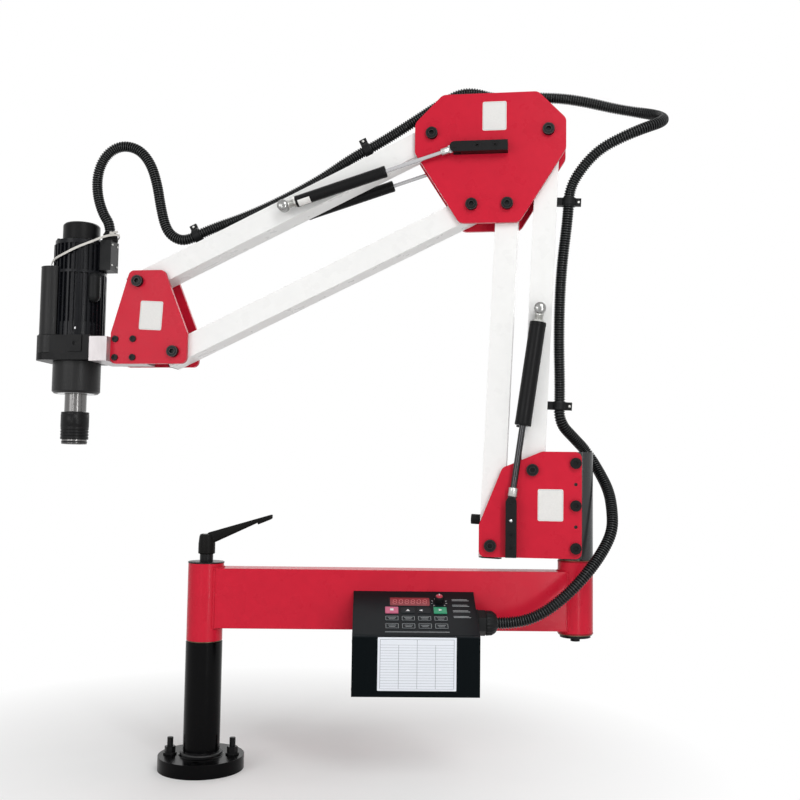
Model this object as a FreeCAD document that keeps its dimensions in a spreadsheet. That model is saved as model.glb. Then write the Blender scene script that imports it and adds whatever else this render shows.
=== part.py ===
import FreeCAD, Part
import math
import os
import re
import Sketcher

# Arm tapping machine: a column on a bolted flange carries a swinging cross beam, a swivel post,
# and two stacked parallelogram arms that keep a motor spindle upright.  Millimetres and degrees.
# Origin: column axis at the flange's underside.  +X along the cross beam, +Y to the rear, +Z up.

Vector = FreeCAD.Vector
doc = FreeCAD.newDocument("arm_tapping_machine")
sheet = doc.addObject("Spreadsheet::Sheet", "Sizes")

DRIVING = [
    # base column and its pivot shaft
    ("flange_radius", 71.5),
    ("flange_thick", 23),
    ("column_radius", 30.5),
    ("column_wall", 6),
    ("column_top", 210.3),
    ("weld_leg", 7),
    ("bolt_circle_radius", 52),
    ("stud_radius", 5),
    ("stud_waist_radius", 4.5),
    ("stud_hole_radius", 5.5),
    ("stud_below", 22),
    ("stud_above", 27.5),
    ("base_nut_tall", 10),
    ("base_nut_radius", 9.2),
    ("base_washer_radius", 11),
    ("base_washer_thick", 3),
    ("shaft_radius", 20),
    ("shaft_socket_deep", 60),
    # hubs at the ends of the cross beam
    ("hub_radius", 30),
    ("hub_wall", 5),
    ("hub_top", 341),
    ("hub_roof", 8),
    ("bush_flange_thick", 2),
    ("bush_long", 22),
    ("bush_flange_inset", 1),
    ("run_gap", 0.05),
    ("side_gap", 0.3),
    # cross beam
    ("beam_span", 631.5),
    ("beam_bottom", 234.3),
    ("beam_tall", 99.5),
    ("beam_deep", 50),
    ("beam_wall", 4),
    ("swivel_hub_bottom", 228.4),
    ("swivel_hub_top", 352),
    # clamp lever
    ("clamp_stud_radius", 8),
    ("clamp_stud_sunk", 24),
    ("clamp_spacer_radius", 11.2),
    ("clamp_spacer_tall", 15),
    ("lever_boss_low_radius", 14.2),
    ("lever_boss_high_radius", 12.6),
    ("lever_boss_tall", 32),
    ("lever_skirt_tall", 17),
    ("lever_root_low", 12.6),
    ("lever_root_high", 35.1),
    ("lever_step_at", 86),
    ("lever_step_low", 53.2),
    ("lever_step_deep", 3),
    ("lever_tip_at", 110.5),
    ("lever_tip_low", 60),
    ("lever_tip_high", 68),
    ("lever_root_wide", 17),
    ("lever_tip_wide", 12.5),
    # swivel post and the lower bracket
    ("arm_yaw", -10.1),
    ("post_bar_top", 537.5),
    ("retainer_radius", 26),
    ("retainer_thick", 4),
    ("retainer_head_radius", 8),
    ("retainer_head_tall", 7),
    ("plate_gap", 56),
    ("plate_thick", 8),
    ("plate_corner", 11),
    ("elbow_corner", 15),
    ("bracket_left", 164),
    ("bracket_right", 10),
    ("bracket_low_z", 356.5),
    ("bracket_shoulder_z", 411),
    ("bracket_brow_z", 509),
    ("bracket_brow_u", 124.5),
    ("bracket_top_u", 57),
    ("post_screw_low_z", 374.4),
    ("post_screw_pitch", 71.8),
    ("post_screw_head_radius", 9.5),
    ("post_screw_radius", 6),
    ("post_screw_deep", 16),
    ("dowel_radius", 3),
    # pivots of both parallelograms
    ("foot_u", -144.3),
    ("foot_z", 375.8),
    ("row_offset", 71.4),
    ("row_gap", 130),
    ("upper_half", 102.6),
    ("post_length", 594.6),
    ("post_lean", 2.45),
    ("forearm_length", 598.1),
    ("forearm_droop", 25.52),
    ("pin_radius", 7),
    ("pin_head_radius", 10.5),
    ("pin_head_tall", 8),
    ("pin_nut_radius", 12.4),
    ("pin_nut_tall", 9),
    ("pin_hole_gap", 0.2),
    ("socket_radius", 5),
    ("socket_deep", 5),
    # arm tubes
    ("tube_tall", 40),
    ("tube_wide", 50),
    ("tube_wall", 3),
    ("tube_over", 20),
    ("boss_radius", 14),
    ("bush_radius", 9.5),
    ("arm_bush_long", 16),
    ("arm_bush_flange_radius", 13),
    # elbow plates, from the upper pivot row
    ("elbow_side", 133),
    ("elbow_top_half", 84),
    ("elbow_top_rise", 70),
    ("elbow_side_rise", 20),
    ("elbow_side_drop", 34),
    ("elbow_foot_half", 52.5),
    ("elbow_foot_drop", 162.5),
    # head plates, from the lower pivot
    ("head_low", 22),
    ("head_right", 25),
    ("head_shoulder", 35),
    ("head_top", 150.5),
    ("head_top_right", 22),
    ("head_top_left", 88),
    ("head_left", 121),
    # gas springs
    ("spring_plane", 46),
    ("post_cylinder_radius", 14),
    ("post_cylinder_bore", 12),
    ("post_cylinder_end", 203),
    ("post_rod_radius", 5.5),
    ("post_rod_fitting_radius", 8),
    ("arm_cylinder_radius", 10.3),
    ("arm_cylinder_bore", 9),
    ("arm_cylinder_end", 194),
    ("arm_rod_radius", 3.8),
    ("arm_rod_fitting_radius", 6.5),
    ("cylinder_start", 24),
    ("cylinder_neck_radius", 6.4),
    ("rod_hidden", 50),
    ("rod_fitting_long", 14),
    ("rod_fitting_from_eye", 10.5),
    ("tongue_thick", 7),
    ("tongue_radius", 7),
    ("lug_pin_radius", 3),
    ("socket_cup_radius", 9.5),
    ("socket_cup_long", 18),
    ("ball_radius", 6.5),
    ("ball_neck_radius", 4),
    ("ball_gap", 0.1),
    ("post_ball_at", 277),
    ("arm_ball_at", 294.4),
    # spring lugs
    ("lug_deep", 20),
    ("lug_wide", 18.5),
    ("lug_slot", 8),
    ("lug_slot_deep", 19),
    ("lug_long", 101.5),
    ("lug_screw_radius", 4),
    ("lug_screw_head_radius", 6),
    ("lug_screw_sink", 6),
    ("post_lug_u", -108.5),
    ("post_lug_low_z", 357.5),
    ("post_lug_screw_a", 38.5),
    ("post_lug_screw_b", 16.2),
    ("arm_lug_drop", 30.56),
    ("arm_lug_right", 32.28),
    ("arm_lug_screw_a", 53.2),
    ("arm_lug_screw_b", 22),
    # fold buffer on the front post
    ("buffer_at", 42),
    ("buffer_long", 17.5),
    ("buffer_radius", 8.7),
    # head
    ("spindle_from_pivot", 202),
    ("clamp_left", 63.5),
    ("clamp_right", 47),
    ("clamp_half_deep", 52),
    ("clamp_drop", 16),
    ("clamp_tall", 46),
    ("clamp_corner", 22),
    ("clamp_bore", 22),
    ("pad_wide", 26),
    ("pad_tall", 31),
    ("pad_proud", 2),
    ("pad_u", 20),
    ("pad_hole_radius", 4),
    ("block_drop", 18),
    ("block_tall", 45),
    ("neck_long", 62),
    ("neck_drop", 21),
    ("neck_rise", 35),
    ("block_screw_pitch", 34),
    ("block_screw_radius", 4),
    ("block_screw_head_radius", 6),
    ("block_screw_head_tall", 3),
    ("block_screw_deep", 14),
    ("block_screw_edge", 9.5),
    ("block_screw_low", 10.5),
    ("housing_radius", 43.5),
    ("housing_tall", 59),
    ("housing_chamfer", 4),
    ("housing_lip", 5),
    ("bearing_radius", 31),
    ("bearing_wide", 14),
    ("journal_radius", 17.5),
    ("nose_radius", 19.8),
    ("nose_long", 34.5),
    ("collar_radius", 25.3),
    ("collar_tall", 50.5),
    ("core_radius", 21),
    ("end_ring_radius", 22.8),
    ("end_ring_tall", 9),
    ("tool_bore_radius", 15.5),
    ("tool_bore_deep", 45),
    ("groove_deep", 1),
    ("groove_wide", 1.6),
    ("groove_pitch", 5.5),
    ("motor_core_radius", 44),
    ("motor_foot_radius", 46.5),
    ("motor_foot_tall", 26),
    ("fin_radius", 48.5),
    ("fin_thick", 3),
    ("fin_tall", 147),
    ("motor_seam_at", 92),
    ("motor_seam_tall", 5),
    ("bell_tall", 8),
    ("cap_radius", 34),
    ("cap_tall", 36),
    ("cap_round", 4),
    ("cover_radius", 21),
    ("cover_u", -38.5),
    ("cover_y", -31),
    ("cover_tall", 129),
    ("cover_foot_radius", 23),
    ("cover_foot_deep", 33),
    ("connector_reach", 67),
    ("connector_deep", 34),
    ("connector_tall", 57),
    ("connector_top", 183),
    ("connector_collar_at", 57),
    ("connector_collar_radius", 13),
    ("connector_collar_tall", 8),
    ("plug_radius", 12),
    ("plug_tall", 34),
    ("plug_u", 40),
    ("plug_y", -25),
    ("plug_low", 75),
    # control box on the front of the beam
    ("case_left", 251.5),
    ("case_long", 202),
    ("case_top_z", 299),
    ("case_crease_z", 242),
    ("case_low_z", 148),
    ("case_deep", 113),
    ("case_wall", 2.5),
    ("panel_thick", 2),
    ("knob_x", 142),
    ("knob_s", 33),
    ("knob_radius", 7.2),
    ("knob_tall", 12),
    ("knob_shaft_radius", 3),
    ("key_s", 57),
    ("key_wide", 21.5),
    ("key_tall", 17),
    ("key_thick", 2.4),
    ("stop_key_x", 63.3),
    ("start_key_x", 142.5),
    ("gland_y", -70),
    ("gland_z", 254),
    ("gland_radius", 21),
    ("gland_long", 33),
    ("gland_thread_radius", 12.5),
    # conduit
    ("conduit_radius", 9.8),
    ("conduit_stand", 10.7),
    ("conduit_unit", 1),
    ("clip_wall", 3),
    ("clip_wide", 14),
    ("clip_gap", 0.5),
    ("clip_ear", 9),
    ("post_clip_low_at", 114),
    ("post_clip_from_top", 119.1),
    ("arm_clip_near_at", 117),
    ("arm_clip_from_head", 128.1),
]

DERIVED = [
    ("shaft_top", "hub_top - hub_roof - 0.5"),
    ("post_bar_low", "swivel_hub_top + bush_flange_thick + side_gap"),
    ("plate_out", "plate_gap / 2 + plate_thick"),
    ("lower_half", "upper_half - row_offset"),
    ("heel_u", "foot_u + row_offset"),
    ("heel_z", "foot_z + row_gap"),
    ("elbow_u", "heel_u + post_length * sin(post_lean * 1 deg) - upper_half"),
    ("elbow_z", "heel_z + post_length * cos(post_lean * 1 deg)"),
    ("head_u", "elbow_u - lower_half - forearm_length * cos(forearm_droop * 1 deg)"),
    ("head_z", "elbow_z - row_gap - forearm_length * sin(forearm_droop * 1 deg)"),
    ("post_ball_u", "heel_u + post_ball_at * sin(post_lean * 1 deg)"),
    ("post_ball_z", "heel_z + post_ball_at * cos(post_lean * 1 deg)"),
    ("post_eye_u", "post_lug_u"),
    ("post_eye_z", "post_lug_low_z + lug_long - lug_wide / 2"),
    ("arm_ball_u", "elbow_u - upper_half - arm_ball_at * cos(forearm_droop * 1 deg)"),
    ("arm_ball_z", "elbow_z - arm_ball_at * sin(forearm_droop * 1 deg)"),
    ("arm_lug_z", "elbow_z - arm_lug_drop"),
    ("arm_lug_right_u", "elbow_u + arm_lug_right"),
    ("arm_eye_u", "arm_lug_right_u - lug_long + lug_wide / 2"),
    ("arm_eye_z", "arm_lug_z"),
    ("post_spring_long", "sqrt((post_eye_u - post_ball_u) ^ 2 + (post_eye_z - post_ball_z) ^ 2)"),
    ("arm_spring_long", "sqrt((arm_eye_u - arm_ball_u) ^ 2 + (arm_eye_z - arm_ball_z) ^ 2)"),
    ("post_spring_turn", "atan2(post_eye_u - post_ball_u; post_eye_z - post_ball_z) / 1 deg"),
    ("arm_spring_turn", "atan2(arm_eye_u - arm_ball_u; arm_eye_z - arm_ball_z) / 1 deg"),
    ("conduit_off", "tube_tall / 2 + conduit_stand + conduit_radius"),
    ("post_clip_high_at", "post_length - post_clip_from_top"),
    ("arm_clip_far_at", "forearm_length - arm_clip_from_head"),
    ("spindle_u", "head_u - spindle_from_pivot"),
    ("clamp_low_z", "head_z - clamp_drop"),
    ("clamp_top_z", "clamp_low_z + clamp_tall"),
    ("housing_low_z", "clamp_low_z - housing_tall"),
    ("collar_top_z", "housing_low_z - nose_long"),
    ("ring_top_z", "collar_top_z - collar_tall"),
    ("fin_reach", "sqrt(fin_radius ^ 2 - fin_thick ^ 2 / 4)"),
    ("chuck_low_z", "ring_top_z - end_ring_tall"),
    ("case_front_y", "-beam_deep / 2 - case_deep"),
    ("panel_long", "sqrt(case_deep ^ 2 + (case_top_z - case_crease_z) ^ 2)"),
    ("panel_tilt", "atan2(case_top_z - case_crease_z; case_deep) / 1 deg"),
]


def fill_sheet():
    """Write every size, then every formula, as one aliased row each."""
    rows = [(name, repr(value)) for name, value in DRIVING]
    rows += [(name, "=" + formula) for name, formula in DERIVED]
    for row, (name, text) in enumerate(rows, start=1):
        sheet.set("A%d" % row, name)
        sheet.set("B%d" % row, text)
        sheet.setAlias("B%d" % row, name)
    doc.recompute()


ALIASES = {name for name, _ in DRIVING} | {name for name, _ in DERIVED}
fill_sheet()


def sized(text):
    """Point each sheet name in an expression at the sheet."""
    return re.sub(r"[a-z_][a-z_0-9]*", lambda word: "Sizes." + word.group()
                  if word.group() in ALIASES else word.group(), str(text))


def size(text):
    """The present value of an expression of sheet names."""
    value = sheet.evalExpression(sized(text))
    return float(getattr(value, "Value", value))


# ---------------------------------------------------------------- frames
# The arm plane stands on the swivel axis; u runs along its X and z is the machine's Z.

ARM = "placement(vector(beam_span; 0; 0); rotation(vector(0; 0; 1); arm_yaw))"


def in_arm_plane(u, z, turn, y="0"):
    """A frame at (u, y, z) of the arm plane, its Z turned from up towards +u."""
    return "%s * placement(vector(%s; %s; %s); rotation(vector(0; 1; 0); %s))" % (ARM, u, y, z, turn)


FRONT_POST = in_arm_plane("foot_u", "foot_z", "post_lean")
REAR_POST = in_arm_plane("heel_u", "heel_z", "post_lean")
UPPER_ARM = in_arm_plane("elbow_u - upper_half", "elbow_z", "-90 - forearm_droop")
LOWER_ARM = in_arm_plane("elbow_u - lower_half", "elbow_z - row_gap", "-90 - forearm_droop")
ELBOW = in_arm_plane("elbow_u", "elbow_z", "0")
HEAD = in_arm_plane("head_u", "head_z", "0")
SPINDLE = in_arm_plane("spindle_u", "0", "0")
POST_SPRING = in_arm_plane("post_ball_u", "post_ball_z", "post_spring_turn")
ARM_SPRING = in_arm_plane("arm_ball_u", "arm_ball_z", "arm_spring_turn")
SLOPE = "placement(vector(case_left; -beam_deep / 2; case_top_z); rotation(vector(1; 0; 0); panel_tilt))"

# ---------------------------------------------------------------- building blocks

TURNS = {
    "Z": FreeCAD.Rotation(),
    "X": FreeCAD.Rotation(Vector(0, 1, 0), 90),
    "Y": FreeCAD.Rotation(Vector(1, 0, 0), -90),
}
NODES = []


def bound(piece, **cells):
    """Bind properties to expressions; a double underscore stands for a dot."""
    for name, text in cells.items():
        piece.setExpression(name.replace("__", "."), sized(text))
    return piece


def placed(piece, x, y, z):
    return bound(piece, Placement__Base__x=x, Placement__Base__y=y, Placement__Base__z=z)


def box(length, width, height, x, y, z):
    """A box with its low corner at x, y, z."""
    piece = doc.addObject("Part::Box", "Box")
    return placed(bound(piece, Length=length, Width=width, Height=height), x, y, z)


def bar(length, width, height, x, y, z):
    """A box centred in Y on y, from x and z upwards."""
    return box(length, width, height, x, "%s - (%s) / 2" % (y, width), z)


def rod(radius, height, x, y, z, along="Z"):
    """A cylinder that starts at x, y, z and runs along an axis."""
    piece = doc.addObject("Part::Cylinder", "Cylinder")
    piece.Placement.Rotation = TURNS[along]
    return placed(bound(piece, Radius=radius, Height=height), x, y, z)


def cone(low_radius, high_radius, height, x, y, z, along="Z"):
    piece = doc.addObject("Part::Cone", "Cone")
    piece.Placement.Rotation = TURNS[along]
    return placed(bound(piece, Radius1=low_radius, Radius2=high_radius, Height=height), x, y, z)


def hexagon(radius, height, x, y, z, along="Z"):
    piece = doc.addObject("Part::Prism", "Hexagon")
    piece.Polygon = 6
    piece.Placement.Rotation = TURNS[along]
    return placed(bound(piece, Circumradius=radius, Height=height), x, y, z)


def ball(radius, x, y, z):
    piece = doc.addObject("Part::Sphere", "Sphere")
    return placed(bound(piece, Radius=radius), x, y, z)


def fuse(*pieces):
    piece = doc.addObject("Part::MultiFuse", "Fuse")
    piece.Shapes = list(pieces)
    return piece


def cut(base, *tools):
    piece = doc.addObject("Part::Cut", "Cut")
    piece.Base = base
    piece.Tool = tools[0] if len(tools) == 1 else fuse(*tools)
    return piece


def common(first, second):
    piece = doc.addObject("Part::Common", "Common")
    piece.Base = first
    piece.Tool = second
    return piece


def group(*pieces):
    """Separate solids that share one node."""
    piece = doc.addObject("Part::Compound", "Group")
    piece.Links = list(pieces)
    return piece


def node(label, piece, frame=None):
    """Name a finished sub-part and seat it in its frame."""
    if frame and piece.TypeId in ("Part::Box", "Part::Cylinder"):
        piece = group(piece)
    piece.Label = label
    if frame:
        piece.setExpression("Placement", sized(frame))
    NODES.append(piece)
    return piece


def tube(radius, bore, height, x, y, z, along="Z"):
    """A sleeve along an axis; the bore runs past both ends."""
    inner = {"X": ("(%s) - 1" % x, y, z), "Y": (x, "(%s) - 1" % y, z), "Z": (x, y, "(%s) - 1" % z)}[along]
    return cut(rod(radius, height, x, y, z, along), rod(bore, "(%s) + 2" % height, *inner, along=along))


# ---------------------------------------------------------------- sketched plates

def pin_point(sketch, element, point, x, y):
    """Fix a sketch point at two expressions from the origin."""
    for kind, text in (("DistanceX", x), ("DistanceY", y)):
        index = sketch.addConstraint(Sketcher.Constraint(kind, -1, 1, element, point, size(text)))
        sketch.setExpression("Constraints[%d]" % index, sized(text))


def draw_outline(sketch, corners):
    spots = [Vector(size(x), size(y), 0) for x, y in corners]
    count = len(spots)
    for i in range(count):
        sketch.addGeometry(Part.LineSegment(spots[i], spots[(i + 1) % count]))
    for i in range(count):
        sketch.addConstraint(Sketcher.Constraint("Coincident", i, 2, (i + 1) % count, 1))
        pin_point(sketch, i, 1, *corners[i])


def draw_hole(sketch, x, y, radius):
    circle = Part.Circle(Vector(size(x), size(y), 0), Vector(0, 0, 1), size(radius))
    element = sketch.addGeometry(circle)
    pin_point(sketch, element, 3, x, y)
    index = sketch.addConstraint(Sketcher.Constraint("Radius", element, size(radius)))
    sketch.setExpression("Constraints[%d]" % index, sized(radius))


def new_sketch(body, role):
    """A sketch on one of the body's own origin planes."""
    plane = [item for item in body.Origin.OriginFeatures if item.Role == role][0]
    sketch = body.newObject("Sketcher::SketchObject", "Sketch")
    sketch.AttachmentSupport = (plane, [""])
    sketch.MapMode = "FlatFace"
    doc.recompute()
    return sketch


def straight_edges(shape, direction):
    """Names of the straight edges that run along a direction."""
    names = []
    for number, edge in enumerate(shape.Edges, start=1):
        if not isinstance(edge.Curve, Part.Line):
            continue
        if abs(edge.tangentAt(edge.FirstParameter).dot(direction)) > 0.999:
            names.append("Edge%d" % number)
    return names


def pad(body, sketch, length):
    feature = body.newObject("PartDesign::Pad", "Pad")
    feature.Profile = sketch
    feature.setExpression("Length", sized(length))
    sketch.Visibility = False
    doc.recompute()
    return feature


def swept(role, corners, length):
    """A profile sketched on an origin plane and padded to a length."""
    body = doc.addObject("PartDesign::Body", "Body")
    sketch = new_sketch(body, role)
    draw_outline(sketch, corners)
    pad(body, sketch, length)
    return body


def plate(label, corners, holes, frame, side, corner="plate_corner"):
    """A rounded steel plate in the XZ plane, its inner face plate_gap / 2 in front or behind."""
    body = doc.addObject("PartDesign::Body", "Body")
    sketch = new_sketch(body, "XZ_Plane")
    draw_outline(sketch, corners)
    slab = pad(body, sketch, "plate_thick")
    fillet = body.newObject("PartDesign::Fillet", "Fillet")
    fillet.Base = (slab, straight_edges(slab.Shape, Vector(0, 1, 0)))
    fillet.setExpression("Radius", sized(corner))
    holes_sketch = new_sketch(body, "XZ_Plane")
    for hole in holes:
        draw_hole(holes_sketch, *hole)
    pocket = body.newObject("PartDesign::Pocket", "Pocket")
    pocket.Profile = holes_sketch
    pocket.Type = "ThroughAll"
    pocket.Reversed = True
    holes_sketch.Visibility = False
    doc.recompute()
    if pocket.Shape.Volume > fillet.Shape.Volume - 1:
        raise SystemExit("the holes of %s miss the plate" % label)
    body.Tip = pocket
    inner = "-plate_gap / 2" if side == "front" else "plate_out"
    seat = " * placement(vector(0; %s; 0); rotation(vector(0; 0; 1); 0))" % inner
    return node("%s_%s" % (label, side), body, frame + seat)


# ---------------------------------------------------------------- pivot hardware

def pivot_bolt(x, z):
    """A socket shoulder bolt from the front plate to a nut behind the rear plate."""
    head = rod("pin_head_radius", "pin_head_tall", x, "-plate_out - pin_head_tall", z, "Y")
    shank = rod("pin_radius", "2 * plate_out + pin_nut_tall + 3", x, "-plate_out - 1", z, "Y")
    recess = hexagon("socket_radius", "socket_deep", x, "-plate_out - pin_head_tall", z, "Y")
    bolt = cut(fuse(head, shank), recess)
    nut = cut(hexagon("pin_nut_radius", "pin_nut_tall", x, "plate_out", z, "Y"),
              rod("pin_radius", "pin_nut_tall + 2", x, "plate_out - 1", z, "Y"))
    return [bolt, nut]


def screw_holes(spots, radius, deep):
    """Blind holes that take the side plates' screws, from both faces of the piece between them."""
    holes = []
    for x, z in spots:
        holes.append(rod(radius, "%s + 1" % deep, x, "-plate_gap / 2 - 1", z, "Y"))
        holes.append(rod(radius, "%s + 1" % deep, x, "plate_gap / 2 - %s" % deep, z, "Y"))
    return holes


def cap_screw(x, z, side, radius, head_radius, head_tall, deep):
    """A socket head screw through a side plate, its head on the plate's outer face."""
    out = "-plate_out" if side < 0 else "plate_out"
    head_y = "-plate_out - %s" % head_tall if side < 0 else "plate_out"
    shank_y = out if side < 0 else "plate_out - plate_thick - %s" % deep
    recess_y = head_y if side < 0 else "plate_out + %s / 2" % head_tall
    head = rod(head_radius, head_tall, x, head_y, z, "Y")
    shank = rod(radius, "plate_thick + %s" % deep, x, shank_y, z, "Y")
    recess = hexagon("(%s) * 0.8" % radius, "(%s) / 2" % head_tall, x, recess_y, z, "Y")
    return cut(fuse(head, shank), recess)


# ---------------------------------------------------------------- base

def build_base():
    flange = rod("flange_radius", "flange_thick", 0, 0, 0)
    skin = rod("column_radius", "column_top - flange_thick", 0, 0, "flange_thick")
    weld = cone("column_radius + weld_leg", "column_radius", "weld_leg", 0, 0, "flange_thick")
    hollow = rod("column_radius - column_wall", "column_top", 0, 0, "flange_thick")
    spots = [("bolt_circle_radius", 0), ("-bolt_circle_radius", 0),
             (0, "bolt_circle_radius"), (0, "-bolt_circle_radius")]
    holes = [rod("stud_hole_radius", "flange_thick + 2", x, y, -1) for x, y in spots]
    node("base_column", cut(fuse(flange, skin, weld), hollow, *holes))

    # the pivot shaft: a plug welded in the column's mouth, a shoulder, and the journal in the hub
    plug = rod("column_radius - column_wall", "shaft_socket_deep", 0, 0, "column_top - shaft_socket_deep")
    journal = rod("shaft_radius", "shaft_top - column_top + 1", 0, 0, "column_top - 1")
    thread = rod("clamp_stud_radius", "clamp_stud_sunk + 4", 0, 0, "shaft_top - clamp_stud_sunk")
    node("pivot_shaft", cut(fuse(plug, journal), thread))

    # waisted studs: full threads below the flange and above the nut, the pitch radius between them
    studs = []
    washer_top = "flange_thick + base_washer_thick"
    nut_top = washer_top + " + base_nut_tall"
    for x, y in spots[:2]:
        low_end = rod("stud_radius", "stud_below", x, y, "-stud_below")
        waist = rod("stud_waist_radius", nut_top + " + 2", x, y, -1)
        high_end = rod("stud_radius", "stud_above - base_washer_thick - base_nut_tall", x, y, nut_top)
        studs.append(fuse(low_end, waist, high_end))
        studs.append(cut(rod("base_washer_radius", "base_washer_thick", x, y, "flange_thick"),
                         rod("stud_hole_radius", "base_washer_thick + 2", x, y, "flange_thick - 1")))
        studs.append(cut(hexagon("base_nut_radius", "base_nut_tall", x, y, washer_top),
                         rod("stud_waist_radius", "base_nut_tall + 2", x, y, washer_top + " - 1")))
    node("hold_down_bolts", group(*studs))


def build_clamp():
    spacer_top = "hub_top + clamp_spacer_tall"
    stud_long = "hub_top - shaft_top + clamp_stud_sunk + clamp_spacer_tall + lever_boss_tall / 2"
    stud = rod("clamp_stud_radius", stud_long, 0, 0, "shaft_top - clamp_stud_sunk")
    spacer = tube("clamp_spacer_radius", "clamp_stud_radius", "clamp_spacer_tall", 0, 0, "hub_top")
    node("clamp_stud", group(stud, spacer))

    # one casting: a boss that narrows upwards, and an arm that tapers in both views to a grip
    low = spacer_top + " + side_gap"
    skirt = rod("lever_boss_low_radius", "lever_skirt_tall", 0, 0, low)
    boss = cone("lever_boss_low_radius", "lever_boss_high_radius", "lever_boss_tall - lever_skirt_tall", 0, 0,
                low + " + lever_skirt_tall")
    step = "lever_step_low - lever_step_deep"
    side_view = swept("XZ_Plane", [
        ("-lever_boss_high_radius + 1", "lever_boss_tall"), (0, "lever_root_low"),
        ("lever_step_at", "lever_step_low"),
        ("lever_step_at + 1", step), ("lever_tip_at", "lever_tip_low"), ("lever_tip_at", "lever_tip_high"),
        (0, "lever_root_high"),
    ], "2 * lever_root_wide")
    placed(side_view, 0, "lever_root_wide", low)
    top_view = swept("XY_Plane", [
        ("-lever_boss_high_radius", "-lever_root_wide / 2"), ("lever_tip_at + 1", "-lever_tip_wide / 2"),
        ("lever_tip_at + 1", "lever_tip_wide / 2"), ("-lever_boss_high_radius", "lever_root_wide / 2"),
    ], "2 * lever_tip_high")
    placed(top_view, 0, 0, low)
    bore = rod("clamp_stud_radius + run_gap", "lever_boss_tall / 2 + 1.5", 0, 0, low + " - 1")
    node("clamp_lever", cut(fuse(skirt, boss, common(side_view, top_view)), bore))


# ---------------------------------------------------------------- cross beam

def build_beam():
    shell_low = "column_top + bush_flange_thick"
    roof = rod("hub_radius", "hub_top - (%s)" % shell_low, 0, 0, shell_low)
    hollow = rod("hub_radius - hub_wall", "hub_top - hub_roof - column_top", 0, 0, "column_top")
    hole = rod("clamp_stud_radius + side_gap", "hub_roof + 2", 0, 0, "hub_top - hub_roof - 1")
    node("pivot_hub", cut(roof, hollow, hole))

    skin = bar("beam_span", "beam_deep", "beam_tall", 0, "0", "beam_bottom")
    inside = bar("beam_span + 2", "beam_deep - 2 * beam_wall", "beam_tall - 2 * beam_wall", -1, "0",
                 "beam_bottom + beam_wall")
    left_cope = rod("hub_radius", "beam_tall + 2", 0, 0, "beam_bottom - 1")
    right_cope = rod("hub_radius", "beam_tall + 2", "beam_span", 0, "beam_bottom - 1")
    node("cross_beam", cut(skin, inside, left_cope, right_cope))

    node("swivel_hub", tube("hub_radius", "hub_radius - hub_wall", "swivel_hub_top - swivel_hub_bottom",
                            "beam_span", 0, "swivel_hub_bottom"))

    # four flanged bushes: two run on the pivot shaft, two carry the swivel post
    bushes = []
    for x, seat, up in ((0, "column_top + bush_flange_thick", True), (0, "hub_top - hub_roof", False),
                        ("beam_span", "swivel_hub_bottom", True), ("beam_span", "swivel_hub_top", False)):
        shell_z = seat if up else "%s - bush_long" % seat
        shell = rod("hub_radius - hub_wall", "bush_long", x, 0, shell_z)
        under_roof = x == 0 and not up
        if under_roof:
            outer = shell
        else:
            flange_z = "%s - bush_flange_thick" % seat if up else seat
            outer = fuse(shell, rod("hub_radius - bush_flange_inset", "bush_flange_thick", x, 0, flange_z))
        bore = rod("shaft_radius + run_gap", "bush_long + 2 * bush_flange_thick + 2", x, 0,
                   "%s - bush_flange_thick - 1" % shell_z)
        bushes.append(cut(outer, bore))
    node("hub_bushes", group(*bushes))


# ---------------------------------------------------------------- swivel post and lower bracket

def build_bracket():
    journal_low = "swivel_hub_bottom - bush_flange_thick - side_gap"
    journal = rod("shaft_radius", "post_bar_low - (%s) + 1" % journal_low, 0, 0, journal_low)
    bar_round = rod("hub_radius", "post_bar_top - post_bar_low", 0, 0, "post_bar_low")
    flats = bar("4 * hub_radius", "plate_gap", "post_bar_top", "-2 * hub_radius", "0", "bracket_low_z")
    shoulder = rod("hub_radius", "bracket_low_z - post_bar_low", 0, 0, "post_bar_low")
    screw_rows = ["post_screw_low_z + %d * post_screw_pitch" % i for i in range(3)]
    holes = screw_holes([(0, z) for z in screw_rows], "post_screw_radius", "post_screw_deep")
    node("swivel_post", cut(fuse(journal, shoulder, common(bar_round, flats)), *holes), ARM)

    washer = rod("retainer_radius", "retainer_thick", 0, 0, journal_low + " - retainer_thick")
    head = rod("retainer_head_radius", "retainer_head_tall", 0, 0,
               journal_low + " - retainer_thick - retainer_head_tall")
    recess = hexagon("socket_radius", "socket_deep", 0, 0,
                     journal_low + " - retainer_thick - retainer_head_tall")
    node("swivel_retainer", cut(fuse(washer, head), recess), ARM)

    corners = [
        ("-bracket_left", "bracket_low_z"), ("bracket_right", "bracket_low_z"),
        ("bracket_right", "post_bar_top"), ("-bracket_top_u", "post_bar_top"),
        ("-bracket_brow_u", "bracket_brow_z"), ("-bracket_left", "bracket_shoulder_z"),
    ]
    pivots = [("foot_u", "foot_z"), ("heel_u", "heel_z")]
    dowel_rows = ["post_screw_low_z + %.1f * post_screw_pitch" % i for i in (0.5, 1.5)]
    lug_screws = ["post_lug_low_z + post_lug_screw_a", "post_lug_low_z + post_lug_screw_b"]
    holes = [(u, z, "pin_radius + pin_hole_gap") for u, z in pivots]
    holes += [(0, z, "post_screw_radius") for z in screw_rows]
    holes += [(0, z, "dowel_radius") for z in dowel_rows]
    holes += [("post_lug_u", z, "lug_screw_radius") for z in lug_screws]
    for side in ("front", "rear"):
        plate("bracket_plate", corners, holes, ARM, side)

    bolts = []
    for u, z in pivots:
        bolts += pivot_bolt(u, z)
    for side in (-1, 1):
        for z in screw_rows:
            bolts.append(cap_screw(0, z, side, "post_screw_radius", "post_screw_head_radius",
                                   "pin_head_tall", "post_screw_deep"))
    node("bracket_bolts", group(*bolts), ARM)


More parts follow.
